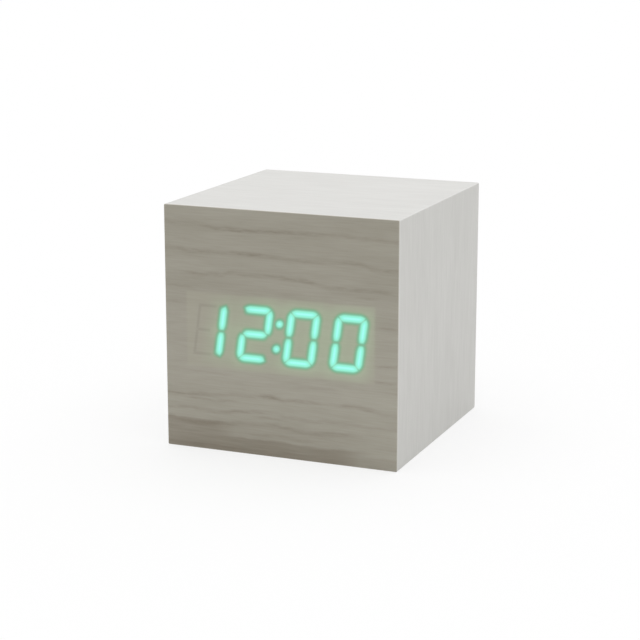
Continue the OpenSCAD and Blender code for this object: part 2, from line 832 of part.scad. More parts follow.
module electrolytic_capacitor() {
    color("#2c3550") rod_y([main_front - capacitor_h, main_front], capacitor_at, capacitor_d);
}

module buzzer() {
    end = main_front - buzzer_h;
    color(black_plastic) difference() {
        rod_y([end, main_front], buzzer_at, buzzer_d);
        rod_y([end - over, end + sound_hole_depth], buzzer_at, sound_hole_d);
    }
}

module coin_cell_holder() {
    color(black_plastic) difference() {
        rod_y([main_front - holder_t, main_front], coin_at, holder_d);
        rod_y([main_front - holder_t - over, main_front - holder_wall], coin_at, coin_d + 2 * coin_gap);
    }
}

module coin_cell() {
    color(steel) rod_y([main_front - holder_wall - coin_t, main_front - holder_wall], coin_at, coin_d);
}

module ribbon_socket() {
    color(nylon) on_main(ribbon_at, socket_w, socket_h, socket_t);
}

module battery_socket() {
    color(nylon) on_main(battery_socket_at, battery_socket_w, battery_socket_h, socket_t);
}

// What stands on the main board's rear face, towards the control plate
module microphone() {
    color("#9a9da0") rod_y([main_rear, stem_end], [-jack_x, plate_z], mic_d);
}

module power_jack() {
    foot_end = flange_front - jack_gap;
    color(black_plastic) difference() {
        union() {
            box(around(jack_x, jack_w), [main_rear, foot_end], around(plate_z, jack_w));
            rod_y([foot_end, jack_end], [jack_x, plate_z], jack_d);
        }
        rod_y([jack_floor, jack_end + over], [jack_x, plate_z], jack_bore_d);
    }
}

module power_jack_pin() {
    color(steel) rod_y([jack_floor, jack_end - jack_pin_sink], [jack_x, plate_z], jack_pin_d);
}

module tact_switches() {
    well_floor = switch_top - plunger_in - key_travel - tip_room;
    color(black_plastic) for (x = key_x) difference() {
        box(around(x, switch_w), [main_rear, switch_top], around(plate_z, switch_w));
        rod_y([well_floor, switch_top + over], [x, plate_z], plunger_d + 2 * key_gap);
    }
}

module plunger(key) {
    color("#3a3b3d") rod_y([switch_top - plunger_in, stem_end], [key_x[key], plate_z], plunger_d);
}

module set_plunger() {
    plunger(0);
}

module down_plunger() {
    plunger(1);
}

module up_plunger() {
    plunger(2);
}

// Control plate: face in the rear panel's opening, flange glued behind it, bosses for the main board
module plate_block(y, w, h, r) {
    along_y(y) translate([0, plate_z]) polygon(round_rect(w, h, r));
}

module control_plate() {
    color(black_plastic) difference() {
        union() {
            plate_block([flange_front, rear_in], flange_w, flange_h, plate_r);
            plate_block([flange_front, plate_face], plug_w, plug_h, plate_r - plate_gap);
            for (at = boss_at)
                rod_y([main_rear, rear_in], at, boss_d);
        }
        plate_block([flange_front - over, plate_back], plug_w - 2 * plate_wall, plug_h - 2 * plate_wall,
            hollow_r);
        for (x = key_x)
            rod_y([plate_back - over, plate_face + over], [x, plate_z], cap_d + 2 * key_gap);
        rod_y([plate_back - over, plate_face + over], [jack_x, plate_z], jack_d + 2 * jack_gap);
        rod_y([plate_back - over, plate_face + over], [-jack_x, plate_z], mic_hole_d);
        for (at = boss_at)
            rod_y([main_rear - over, main_rear + boss_bite + tip_room], at, screw_d + 2 * thread_gap);
    }
}

module button(key) {
    at = [key_x[key], plate_z];
    color("#303133") {
        rod_y([rim_back, plate_face + cap_proud], at, cap_d);
        rod_y([rim_back, rim_back + rim_t], at, rim_d);
        rod_y([stem_end, rim_back], at, stem_d);
    }
}

module set_button() {
    button(0);
}

module down_button() {
    button(1);
}

module up_button() {
    button(2);
}

// Battery compartment
function bay_y(bay) = tray_mid + (bay - 1) * (bay_w + rib_t);

module bay_space(x, front_bay, rear_bay, z) {
    box(x, [bay_y(front_bay) - bay_w / 2, bay_y(rear_bay) + bay_w / 2], z);
}

module battery_tray() {
    inner_x = around(0, bay_len);
    color(black_plastic) difference() {
        union() {
            box([-tray_x, tray_x], [tray_front, tray_rear], [tray_recess, tray_top]);
            for (x = [-ear_x, ear_x])
                box(around(x, ear_w), [tray_front - ear_len, tray_rear + ear_len],
                    [floor_z, floor_z + ear_t]);
        }
        box(inner_x, [tray_front + tray_wall, tray_rear - tray_wall], [tray_recess - over, ledge_z]);
        for (bay = bays)
            bay_space(inner_x, bay, bay, [ledge_z - over, ceiling_z]);
        for (end = [-1, 1]) {
            bay_space(around(end * (bay_len - rib_stop) / 2, rib_stop), 0, last_bay,
                [ledge_z - over, ceiling_z]);
            box(around(end * contact_x, contact_t + 2 * tab_gap),
                around(bay_y(end < 0 ? 0 : last_bay), tab_w + 2 * tab_gap),
                [ceiling_z - over, tray_top + over]);
        }
        rod_x(around(0, bay_len + 2 * (hinge_len + door_lift)), [hinge_y, hinge_z],
            hinge_d + 2 * hinge_gap);
        for (at = ear_screw_at)
            rod_z([floor_z - over, floor_z + ear_t + over], at, screw_d + 2 * clear_gap);
    }
}

module tray_screws() {
    color(steel) for (at = ear_screw_at)
        translate([at[0], at[1], floor_z + ear_t]) pan_screw(ear_t + bite);
}

module battery_door() {
    steps = 8;
    edge = [for (k = [0:steps]) let (a = 90 + 180 * k / steps)
        [hinge_y, hinge_z] + door_t / 2 * [cos(a), sin(a)]];
    color(black_plastic) difference() {
        union() {
            along_x([-door_x, door_x])
                polygon(concat(edge, [[door_rear, door_z], [door_rear, door_z + door_t]]));
            rod_x(around(0, bay_len + 2 * hinge_len), [hinge_y, hinge_z], hinge_d);
        }
        rod_x(around(0, scoop_w), [door_rear - scoop_edge, door_z + scoop_depth - scoop_d / 2], scoop_d);
    }
}

module battery_cell(bay) {
    way = cell_way[bay];
    at = [bay_y(bay), cell_z];
    plus_x = bay_len / 2 - contact_t;
    translate([0, at[0], at[1]]) rotate([0, 90 * way, 0]) {
        color("#2f7d4f") translate([0, 0, plus_x - cell_len]) cylinder(h = cell_len - nub_len, d = cell_d);
        color(steel) translate([0, 0, plus_x - nub_len]) cylinder(h = nub_len, d = nub_d);
    }
}

module battery_cell_1() {
    battery_cell(0);
}

module battery_cell_2() {
    battery_cell(1);
}

module battery_cell_3() {
    battery_cell(2);
}

// Contact springs: a tapering helix from the plate to the cell
curl_rings = 8;
spring_sides = 6;
spring_rings = spring_turns * curl_rings;

function spring_point(bay, i) = let (s = i / spring_rings, turn = 360 * i / curl_rings,
        r = ((1 - s) * spring_d + s * spring_tip_d - spring_wire_d) / 2,
        x = bay_len / 2 - contact_t - spring_wire_d / 2 - s * (spring_len - spring_wire_d))
    [-cell_way[bay] * x, bay_y(bay) + r * cos(turn), cell_z + r * sin(turn)];

function spring_ring(bay, i) = let (step = 0.01)
    ring(spring_point(bay, i), unit(spring_point(bay, i + step) - spring_point(bay, i - step)),
        [1, 0, 0], spring_wire_d, spring_sides);

spring_clear = min([for (i = [0:spring_rings - curl_rings])
    norm(spring_point(0, i + curl_rings) - spring_point(0, i))]) - spring_wire_d;
echo(least_gap_between_spring_turns = spring_clear);

module battery_springs() {
    color(steel) for (bay = bays)
        tube([for (i = [0:spring_rings]) spring_ring(bay, i)]);
}

// Contact plates: a terminal with a solder tab at each free end, and a link across two bays at the others
module contact_plate(end, front_bay, rear_bay) {
    box(around(end * contact_x, contact_t),
        [bay_y(front_bay) - contact_w / 2, bay_y(rear_bay) + contact_w / 2], around(cell_z, contact_w));
}

module solder_tab(end, bay) {
    box(around(end * contact_x, contact_t), around(bay_y(bay), tab_w), [cell_z, tray_top + tab_h]);
}

module battery_plates() {
    color(steel) {
        contact_plate(-1, 0, 0);
        solder_tab(-1, 0);
        contact_plate(-1, 1, last_bay);
        contact_plate(1, 0, 1);
        contact_plate(1, last_bay, last_bay);
        solder_tab(1, last_bay);
    }
}

// Battery wires: from a solder tab up, over and into the battery socket
wire_steps = 24;
wire_sides = 8;

function wire_stations(end, bay) = let (
        from = [end * contact_x, bay_y(bay), tray_top + tab_h],
        to = [end * (wire_d + wire_gap) / 2, main_front - socket_t, battery_socket_at[1]])
    [from, from + [0, 0, wire_rise_len], to - [0, wire_run_len, 0], to];

function curve(p, t) = pow(1 - t, 3) * p[0] + 3 * t * pow(1 - t, 2) * p[1]
    + 3 * t * t * (1 - t) * p[2] + pow(t, 3) * p[3];

function curve_way(p, t) = unit(pow(1 - t, 2) * (p[1] - p[0]) + 2 * t * (1 - t) * (p[2] - p[1])
    + t * t * (p[3] - p[2]));

module battery_wire(end, bay) {
    p = wire_stations(end, bay);
    tube([for (i = [0:wire_steps]) ring(curve(p, i / wire_steps), curve_way(p, i / wire_steps),
        [end, 1, 1], wire_d, wire_sides)]);
}

module battery_wire_red() {
    color("#b3262a") battery_wire(1, last_bay);
}

module battery_wire_black() {
    color("#1d1d1f") battery_wire(-1, 0);
}

front_veneer();
front_board();
top_veneer();
top_board();
left_veneer();
left_board();
right_veneer();
right_board();
base_veneer();
base_board();
rear_edge_veneer();
rear_veneer();
rear_board();
corner_blocks();
rear_screws();
display_reflector();
hour_tens_segments();
hour_units_segments();
minute_tens_segments();
minute_units_segments();
colon_dots();
display_led_chips();
display_board();
display_standoffs();
display_screws();
display_socket();
ribbon_cable();
main_board();
main_board_screws();
controller_chip();
clock_crystal();
electrolytic_capacitor();
buzzer();
microphone();
coin_cell_holder();
coin_cell();
power_jack();
power_jack_pin();
ribbon_socket();
battery_socket();
tact_switches();
set_plunger();
down_plunger();
up_plunger();
control_plate();
set_button();
down_button();
up_button();
battery_tray();
tray_screws();
battery_door();
battery_cell_1();
battery_cell_2();
battery_cell_3();
battery_springs();
battery_plates();
battery_wire_red();
battery_wire_black();
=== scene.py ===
import math

import bmesh
import bpy
from mathutils import Matrix, Vector


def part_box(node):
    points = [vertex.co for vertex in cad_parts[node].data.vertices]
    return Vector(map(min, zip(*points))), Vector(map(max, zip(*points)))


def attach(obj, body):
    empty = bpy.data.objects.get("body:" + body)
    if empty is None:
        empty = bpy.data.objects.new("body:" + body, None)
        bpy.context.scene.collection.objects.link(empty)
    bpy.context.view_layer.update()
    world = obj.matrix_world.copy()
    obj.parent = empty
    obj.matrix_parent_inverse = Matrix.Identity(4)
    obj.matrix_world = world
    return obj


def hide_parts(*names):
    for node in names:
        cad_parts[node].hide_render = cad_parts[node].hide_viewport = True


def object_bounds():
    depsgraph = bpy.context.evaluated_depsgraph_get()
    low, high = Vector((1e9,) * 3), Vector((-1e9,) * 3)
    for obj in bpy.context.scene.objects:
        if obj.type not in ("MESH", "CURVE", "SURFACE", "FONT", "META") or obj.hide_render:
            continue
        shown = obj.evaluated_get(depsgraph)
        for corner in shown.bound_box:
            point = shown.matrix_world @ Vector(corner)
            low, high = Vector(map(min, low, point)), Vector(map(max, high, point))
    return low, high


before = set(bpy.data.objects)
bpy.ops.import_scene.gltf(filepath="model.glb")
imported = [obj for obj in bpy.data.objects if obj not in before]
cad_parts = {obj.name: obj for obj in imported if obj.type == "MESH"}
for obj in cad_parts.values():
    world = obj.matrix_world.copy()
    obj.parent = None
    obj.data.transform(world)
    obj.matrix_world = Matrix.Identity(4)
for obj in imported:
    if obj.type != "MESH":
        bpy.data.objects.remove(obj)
cad_low, cad_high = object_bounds()


# Viewpoint: the clock is looked at from a little to the right of its front and a little above it, through a
# long lens half a metre away, so that its sides run almost parallel.
view_azimuth = math.radians(22.37)
view_elevation = math.radians(13.24)
view_distance = 0.4907
aim_right, aim_up = -0.00181, -0.0025
lens_mm, sensor_mm = 103.62, 36
nearest_seen = 0.01
middle = (cad_low + cad_high) / 2
away = Vector((math.sin(view_azimuth) * math.cos(view_elevation),
               -math.cos(view_azimuth) * math.cos(view_elevation), math.sin(view_elevation)))
rightward = Vector((math.cos(view_azimuth), math.sin(view_azimuth), 0))
upward = away.cross(rightward)

camera = bpy.data.objects.new("camera", bpy.data.cameras.new("camera"))
camera.data.sensor_fit = "HORIZONTAL"
camera.data.sensor_width = sensor_mm
camera.data.lens = lens_mm
camera.data.clip_start = nearest_seen
camera.matrix_world = (
    Matrix.Translation(middle + away * view_distance + rightward * aim_right + upward * aim_up)
    @ Matrix((rightward, upward, away)).transposed().to_4x4())
bpy.context.scene.collection.objects.link(camera)
bpy.context.scene.camera = camera
bpy.context.scene.view_settings.view_transform = "Standard"


# Studio: a wide white table under an even white sky, with one broad soft lamp overhead. The table keeps the
# clock's shadow. It is clear from below and has a hole under the clock, so that the base can be looked at.
# Only the camera sees the lip round that hole, which lets light through to the base's rim.
sky_light = 0.75
lamp_light = 0.40
lamp_lean = (0.03, 0.0)
lamp_width = math.radians(80)
table_white = 0.87
table_reach = 5.0
table_gap = 0.0001
table_hole = 0.0310
table_lip = 0.0322
shadow_share = 0.3


def add(tree, kind, inputs=None, **options):
    """A new node, with its options set and its inputs given as values or as other nodes' outputs."""
    made = tree.nodes.new(kind)
    for option, value in options.items():
        setattr(made, option, value)
    for socket, value in (inputs or {}).items():
        if isinstance(value, bpy.types.NodeSocket):
            tree.links.new(value, made.inputs[socket])
        else:
            made.inputs[socket].default_value = value
    return made


def calc(tree, operation, *values):
    """One step of arithmetic in a node tree."""
    return add(tree, "ShaderNodeMath", dict(enumerate(values)), operation=operation).outputs[0]


def axes(tree, place):
    """The X, Y and Z of a place."""
    return add(tree, "ShaderNodeSeparateXYZ", {0: place}).outputs


def looked_at(tree, rays):
    """1 for the rays that show something to the camera, whether straight, in a mirror or through glass."""
    return calc(tree, "MAXIMUM", rays["Is Camera Ray"],
                calc(tree, "MAXIMUM", rays["Is Glossy Ray"], rays["Is Transmission Ray"]))


world = bpy.data.worlds.new("studio_sky")
world.use_nodes = True
bpy.context.scene.world = world
sky = world.node_tree
seen = looked_at(sky, add(sky, "ShaderNodeLightPath").outputs)
sky.nodes["Background"].inputs["Color"].default_value = (1, 1, 1, 1)
sky.links.new(calc(sky, "MULTIPLY_ADD", seen, 1 - sky_light, sky_light),
              sky.nodes["Background"].inputs["Strength"])

lamp = bpy.data.objects.new("lamp", bpy.data.lights.new("lamp", "SUN"))
lamp.data.energy = lamp_light * math.pi
lamp.data.angle = lamp_width
lamp.rotation_mode = "QUATERNION"
lamp.rotation_quaternion = Vector((*lamp_lean, 1)).to_track_quat("Z", "Y")
bpy.context.scene.collection.objects.link(lamp)

table_top = bpy.data.materials.new("table_top")
table_top.use_nodes = True
tree = table_top.node_tree
paint = tree.nodes["Principled BSDF"]
paint.inputs["Base Color"].default_value = (table_white, table_white, table_white, 1)
paint.inputs["Roughness"].default_value = 1.0
paint.inputs["Specular IOR Level"].default_value = 0.0
rays = add(tree, "ShaderNodeLightPath").outputs
washed_out = calc(tree, "MULTIPLY", looked_at(tree, rays), 1 - shadow_share)
washed = add(tree, "ShaderNodeMixShader", {0: washed_out, 1: paint.outputs[0],
                                           2: add(tree, "ShaderNodeEmission").outputs[0]})
from_below = add(tree, "ShaderNodeNewGeometry").outputs["Backfacing"]
spot = axes(tree, add(tree, "ShaderNodeTexCoord").outputs["Object"])
from_middle = calc(tree, "MAXIMUM", calc(tree, "ABSOLUTE", spot["X"]), calc(tree, "ABSOLUTE", spot["Y"]))
on_lip = calc(tree, "LESS_THAN", from_middle, table_lip)
clear = calc(tree, "MAXIMUM", from_below,
             calc(tree, "MULTIPLY", on_lip, calc(tree, "SUBTRACT", 1.0, rays["Is Camera Ray"])))
sheet = add(tree, "ShaderNodeMixShader", {0: clear, 1: washed.outputs[0],
                                          2: add(tree, "ShaderNodeBsdfTransparent").outputs[0]})
tree.links.new(sheet.outputs[0], tree.nodes["Material Output"].inputs["Surface"])

table_mesh = bpy.data.meshes.new("table")
table_mesh.from_pydata([(x * reach, y * reach, cad_low.z - table_gap) for reach in (table_reach, table_hole)
                        for x, y in ((-1, -1), (1, -1), (1, 1), (-1, 1))],
                       [], [(k, (k + 1) % 4, (k + 1) % 4 + 4, k + 4) for k in range(4)])
table_mesh.materials.append(table_top)
table = bpy.data.objects.new("table", table_mesh)
bpy.context.scene.collection.objects.link(table)


# Boards: medium-density fibreboard, 4 mm thick, sawn to 45 degree mitres and glued into a tube, with the
# front board in its front end. The glue blocks in the rear corners and the rear panel are the same board.
board_dark, board_light = (0.30, 0.20, 0.115, 1), (0.47, 0.345, 0.22, 1)
fleck_size, fleck_depth = 0.0006, 0.00004


def new_finish(name):
    """A material, with its node tree, its shader and the place on the piece in metres."""
    material = bpy.data.materials.new(name)
    material.use_nodes = True
    tree = material.node_tree
    return material, tree, tree.nodes["Principled BSDF"], add(tree, "ShaderNodeTexCoord").outputs["Object"]


def mottle(tree, place, size, detail=2.0):
    """Soft random patches from 0 to 1. Their size is one number, or three along X, Y and Z."""
    scale = [1 / s for s in size] if isinstance(size, (tuple, list)) else [1 / size] * 3
    stretched = add(tree, "ShaderNodeVectorMath", {0: place, 1: scale}, operation="MULTIPLY")
    return add(tree, "ShaderNodeTexNoise",
               {"Vector": stretched.outputs[0], "Scale": 1.0, "Detail": detail}).outputs[0]


def fade(tree, value, start, end, low=0.0, high=1.0, style="LINEAR"):
    """A value's run from start to end, as a run from low to high that stops at both."""
    return add(tree, "ShaderNodeMapRange", {"Value": value, "From Min": start, "From Max": end,
                                            "To Min": low, "To Max": high},
               interpolation_type=style).outputs["Result"]


def tint(tree, amount, low, high, how="MIX"):
    """A colour between two others."""
    return add(tree, "ShaderNodeMix", {0: amount, 6: low, 7: high},
               data_type="RGBA", blend_type=how).outputs[2]


def shaded(tree, colour, by):
    """A colour multiplied by another."""
    return tint(tree, 1.0, colour, by, "MULTIPLY")


def relief(tree, shader, height, depth):
    """Raises the surface by a pattern, as deep as depth."""
    bump = add(tree, "ShaderNodeBump", {"Height": height, "Distance": depth})
    tree.links.new(bump.outputs[0], shader.inputs["Normal"])


def dress(material, *names):
    """Puts a finish on CAD pieces that keep their own shape."""
    for name in names:
        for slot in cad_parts[name].material_slots:
            slot.material = material


fibreboard, tree, shader, place = new_finish("sawn_fibreboard")
flecks = mottle(tree, place, fleck_size, detail=4)
tree.links.new(tint(tree, fade(tree, flecks, 0.3, 0.7), board_dark, board_light), shader.inputs["Base Color"])
tree.links.new(fade(tree, flecks, 0.2, 0.8, 0.95, 0.8), shader.inputs["Roughness"])
relief(tree, shader, flecks, fleck_depth)
dress(fibreboard, "front_board", "top_board", "left_board", "right_board", "base_board", "rear_board",
      "corner_blocks")


# Side skins: pale wood-faced sheets, half a millimetre thick, glued to the four side boards and mitred where
# they meet, with the long edges of the cube sanded to a small round. The base has the battery opening.
half = cad_high.x
skin_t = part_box("right_veneer")[1].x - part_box("right_veneer")[0].x
skin_front, skin_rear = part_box("top_veneer")[0].y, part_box("top_veneer")[1].y
edge_round = 0.00035
# Painted highlight on the skins' rounded long edges and front edge, partly paler sanded wood.
edge_highlight_tone = (1.12, 1.12, 1.13, 1)
front_highlight_strip = 0.0005
round_steps = 6
tray_low, tray_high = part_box("battery_tray")
tray_gap = 0.0002
ear_len = 0.0045
pale_dark, pale_light = (0.595, 0.590, 0.571, 1), (0.652, 0.648, 0.628, 1)
# The upright sides are the same veneer as the top and base, made darker by painted shade.
across_tone, upright_painted_shade = (1, 1, 1, 1), (0.955, 0.955, 0.945, 1)
fibre_len, fibre_width, fibre_depth = 0.009, 0.0004, 0.000015
cloud_len, cloud_width = 0.030, 0.007
wood_sheen = 0.3


def as_piece(name, bm, crease=35):
    """Turns a finished bmesh into an object, smooth but for the edges that turn by more than the crease."""
    mesh = bpy.data.meshes.new(name)
    bm.to_mesh(mesh)
    bm.free()
    mesh.shade_smooth()
    mesh.set_sharp_from_angle(angle=math.radians(crease))
    piece = bpy.data.objects.new(name, mesh)
    bpy.context.scene.collection.objects.link(piece)
    return piece


def skin(name, rings, closed=False):
    """A solid through rings of points: its ends are filled, or joined to each other if it is closed."""
    bm = bmesh.new()
    loops = [[bm.verts.new(point) for point in ring] for ring in rings]
    for near, far in zip(loops, loops[1:] + loops[:1] if closed else loops[1:]):
        for k in range(len(near)):
            n = (k + 1) % len(near)
            bm.faces.new((near[k], near[n], far[n], far[k]))
    if not closed:
        bm.faces.new(loops[0])
        bm.faces.new(loops[-1])
    bmesh.ops.recalc_face_normals(bm, faces=bm.faces)
    return as_piece(name, bm)


def fit(piece, material, replaced, body="case"):
    """Gives a piece its finish, hides the CAD nodes that it stands for and hangs it on its body."""
    piece.data.materials.clear()
    piece.data.materials.append(material)
    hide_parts(*replaced)
    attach(piece, body)


def lengthwise(axis, length, width):
    """The size of a streak that runs along one axis."""
    return [length if k == axis else width for k in range(3)]


def apart(tree, value, other):
    """How far apart two values are."""
    return calc(tree, "ABSOLUTE", calc(tree, "SUBTRACT", value, other))


def blend(tree, value, other, share):
    """A share of one value and the rest of another."""
    return calc(tree, "MULTIPLY_ADD", value, share, calc(tree, "MULTIPLY", other, 1 - share))


def pale_wood(name, axis, tone):
    """Pale veneer with faint fibres along one axis, times a tone that is painted shade on the upright sides,
    and lighter along its edges, partly sanded wood and partly painted highlight.
    """
    material, tree, shader, place = new_finish(name)
    fibre = mottle(tree, place, lengthwise(axis, fibre_len, fibre_width), detail=3)
    cloud = mottle(tree, place, lengthwise(axis, cloud_len, cloud_width))
    figuring = blend(tree, cloud, fibre, 0.4)
    colour = tint(tree, fade(tree, figuring, 0.32, 0.68), *(
        [part * share for part, share in zip(shade, tone)] for shade in (pale_dark, pale_light)))
    spot = axes(tree, place)
    # Painted highlight: the skin is lighter along its rounded long edges and its front edge, partly the paler
    # sanded wood and partly painted highlight.
    to_edge = calc(tree, "MINIMUM", calc(tree, "ABSOLUTE", spot["X"]), apart(tree, spot["Z"], middle.z))
    sanded_edge_highlight = calc(tree, "MAXIMUM", fade(tree, to_edge, half - edge_round, half - 0.5 * edge_round),
                  fade(tree, spot["Y"], skin_front + front_highlight_strip, skin_front + 0.5 * front_highlight_strip))
    tree.links.new(tint(tree, sanded_edge_highlight, colour, shaded(tree, colour, edge_highlight_tone)), shader.inputs["Base Color"])
    tree.links.new(fade(tree, fibre, 0.3, 0.7, 0.62, 0.5), shader.inputs["Roughness"])
    shader.inputs["Specular IOR Level"].default_value = wood_sheen
    relief(tree, shader, fibre, fibre_depth)
    return material


round_levels = [(half - skin_t, half - skin_t)]
for k in range(round_steps + 1):
    turn = math.radians(45 + 45 * k / round_steps)
    round_levels.append((half - edge_round + edge_round * math.cos(turn),
                         half - edge_round + edge_round * math.sin(turn)))

side_places = {
    "top": lambda u, y, out: (u, y, middle.z + out),
    "base": lambda u, y, out: (u, y, middle.z - out),
    "right": lambda u, y, out: (out, y, middle.z + u),
    "left": lambda u, y, out: (-out, y, middle.z + u),
}
wood_across = pale_wood("pale_wood_across", 0, across_tone)
upright_shaded_wood = pale_wood("pale_wood_upright_shaded", 2, upright_painted_shade)
for side, put in side_places.items():
    rings = [[put(-u, skin_front, out), put(u, skin_front, out), put(u, skin_rear, out),
              put(-u, skin_rear, out)] for u, out in round_levels]
    if side == "base":
        opening_x = tray_high.x + tray_gap
        opening_y = (tray_low.y + ear_len - tray_gap, tray_high.y - ear_len + tray_gap)
        for out in (half, half - skin_t):
            rings.append([put(-opening_x, opening_y[0], out), put(opening_x, opening_y[0], out),
                          put(opening_x, opening_y[1], out), put(-opening_x, opening_y[1], out)])
    fit(skin(side + "_skin", rings, closed=side == "base"),
        wood_across if side in ("top", "base") else upright_shaded_wood, [side + "_veneer"])


# Front skin: a sheet over the front ends of the boards, grey-brown partly by its own warmer tone and partly
# by painted shade that makes it darker than the sides. Its edge is slightly round and pale, partly sanded
# wood and partly painted highlight. The display shines through it: the lit bars glow aqua, and its pale face
# shows as a faint rectangle.
front_y = cad_low.y
front_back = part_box("front_veneer")[1].y
front_round = 0.0003
corner_steps = 5


def rounded_square(side, radius, y):
    """The corners of a square with round corners, seen along Y."""
    ring = []
    for quarter in range(4):
        for k in range(corner_steps + 1):
            turn = math.radians(90 * (quarter + k / corner_steps))
            in_x = 1 if quarter in (0, 3) else -1
            in_z = 1 if quarter < 2 else -1
            ring.append((in_x * (side - radius) + radius * math.cos(turn), y,
                         middle.z + in_z * (side - radius) + radius * math.sin(turn)))
    return ring


def rounded_face(back, face, side, radius, ease):
    """Rings of a square sheet from its back to its face, whose rim is eased by a small round."""
    out = 1 if face > back else -1
    rings = [rounded_square(side, radius, back)]
    for k in range(round_steps + 1):
        turn = math.radians(90 * k / round_steps)
        inset = ease * (1 - math.cos(turn))
        rings.append(rounded_square(side - inset, radius - inset, face - out * ease * (1 - math.sin(turn))))
    return rings


front_skin = skin("front_skin", rounded_face(front_back, front_y, half, edge_round, front_round))

# The figures, in millimetres: each has seven bars round its middle and leans to the right. A bar's place is
# given by its side, left or right, and by its level, upper or lower.
MM = 1000
figure_places = [MM * (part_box(name)[0].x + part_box(name)[1].x) / 2
                 for name in ("hour_tens_segments", "hour_units_segments", "minute_tens_segments",
                              "minute_units_segments")]
figures_shown = ["bc", "abdeg", "abcdef", "abcdef"]
figure_h, figure_w, figure_round = 14.5, 8.6, 2.4
bar_w, bar_gap, waist_gap, middle_inset, waist_spill = 1.8, 0.35, 1.0, 0.25, 0.15
figure_lean = math.tan(math.radians(8))
end_slope, end_reach, end_round = 0.33, -0.05, 1.45
middle_reach, middle_slope = 3.25, 0.5
trace_reach = 0.7
dot_d, dot_pitch = 1.8, 6.5
dot_place = MM * (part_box("colon_dots")[0].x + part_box("colon_dots")[1].x) / 2
bar_column, bar_row = (figure_w - bar_w) / 2, (figure_h - bar_w) / 2
bars = {"a": (0, 1), "b": (1, 1), "c": (1, -1), "d": (0, -1), "e": (-1, -1), "f": (-1, 1), "g": (0, 0)}
far_off = 9.0
glow_reach = 5.5


def new_group(name, inputs, outputs):
    """An empty shader group with number sockets."""
    group = bpy.data.node_groups.new(name, "ShaderNodeTree")
    for socket in inputs:
        group.interface.new_socket(socket, in_out="INPUT", socket_type="NodeSocketFloat")
    for socket in outputs:
        group.interface.new_socket(socket, in_out="OUTPUT", socket_type="NodeSocketFloat")
    return group, add(group, "NodeGroupInput").outputs, add(group, "NodeGroupOutput").inputs


def hypotenuse(tree, x, y):
    """The distance over two distances at right angles."""
    return calc(tree, "SQRT", calc(tree, "MULTIPLY_ADD", x, x, calc(tree, "MULTIPLY", y, y)))


figure, given, wanted = new_group("seven_bar_figure", ["Across", "Up", *bars], ["Lit", "Dark", "Glow"])
from_axis = calc(figure, "ABSOLUTE", given["Across"])
past_x = calc(figure, "MAXIMUM", calc(figure, "SUBTRACT", from_axis, figure_w / 2 - figure_round), 0.0)
past_z = calc(figure, "MAXIMUM", calc(figure, "SUBTRACT", calc(figure, "ABSOLUTE", given["Up"]),
                                      figure_h / 2 - figure_round), 0.0)
outside = calc(figure, "SUBTRACT", hypotenuse(figure, past_x, past_z), figure_round)


def cut_end(run, off_line, corner):
    """Distance past a bar's end at a corner of the figure, where the bar is cut aslant."""
    past_end = calc(figure, "MULTIPLY_ADD", off_line, -end_slope, run)
    return calc(figure, "MULTIPLY", calc(figure, "SUBTRACT", past_end, corner + end_reach),
                1 / math.hypot(1, end_slope))


lit, dark, glow = far_off, far_off, 0.0
for bar, (side, level) in bars.items():
    if side:
        off_line = calc(figure, "MULTIPLY_ADD", given["Across"], side, -bar_column)
        run = calc(figure, "MULTIPLY", given["Up"], level)
        point = calc(figure, "SUBTRACT", calc(figure, "ABSOLUTE", off_line), run)
        waist = calc(figure, "MAXIMUM", calc(figure, "SUBTRACT", waist_gap / 2, run), calc(
            figure, "MULTIPLY_ADD", point, math.sqrt(0.5), bar_gap / 2 - middle_inset * math.sqrt(0.5)))
        waist = calc(figure, "SUBTRACT", waist, waist_spill)
        end = calc(figure, "MAXIMUM", waist, cut_end(run, off_line, bar_row))
    else:
        off_line = calc(figure, "MULTIPLY_ADD", given["Up"], level or 1, -bar_row * abs(level))
        point = calc(figure, "MULTIPLY_ADD", calc(figure, "ABSOLUTE", off_line), middle_slope, from_axis)
        past_point = calc(figure, "MULTIPLY", calc(figure, "SUBTRACT", point, middle_reach),
                          1 / math.hypot(1, middle_slope))
        end = cut_end(from_axis, off_line, bar_column) if level else past_point
    beside = calc(figure, "SUBTRACT", calc(figure, "ABSOLUTE", off_line), bar_w / 2)
    distance = calc(figure, "MAXIMUM", outside, calc(figure, "SMOOTH_MAX", end, beside, end_round))
    off = calc(figure, "SUBTRACT", 1.0, given[bar])
    lit = calc(figure, "MINIMUM", lit, calc(figure, "MULTIPLY_ADD", off, far_off, distance))
    trace = calc(figure, "MAXIMUM", calc(figure, "SUBTRACT", end, trace_reach), beside)
    dark = calc(figure, "MINIMUM", dark, calc(figure, "MULTIPLY_ADD", given[bar], far_off, trace))
    spill = fade(figure, distance, glow_reach, 0.0)
    glow = calc(figure, "MULTIPLY_ADD", calc(figure, "MULTIPLY", spill, spill), given[bar], glow)
for socket, value in (("Lit", lit), ("Dark", dark), ("Glow", glow)):
    figure.links.new(value, wanted[socket])


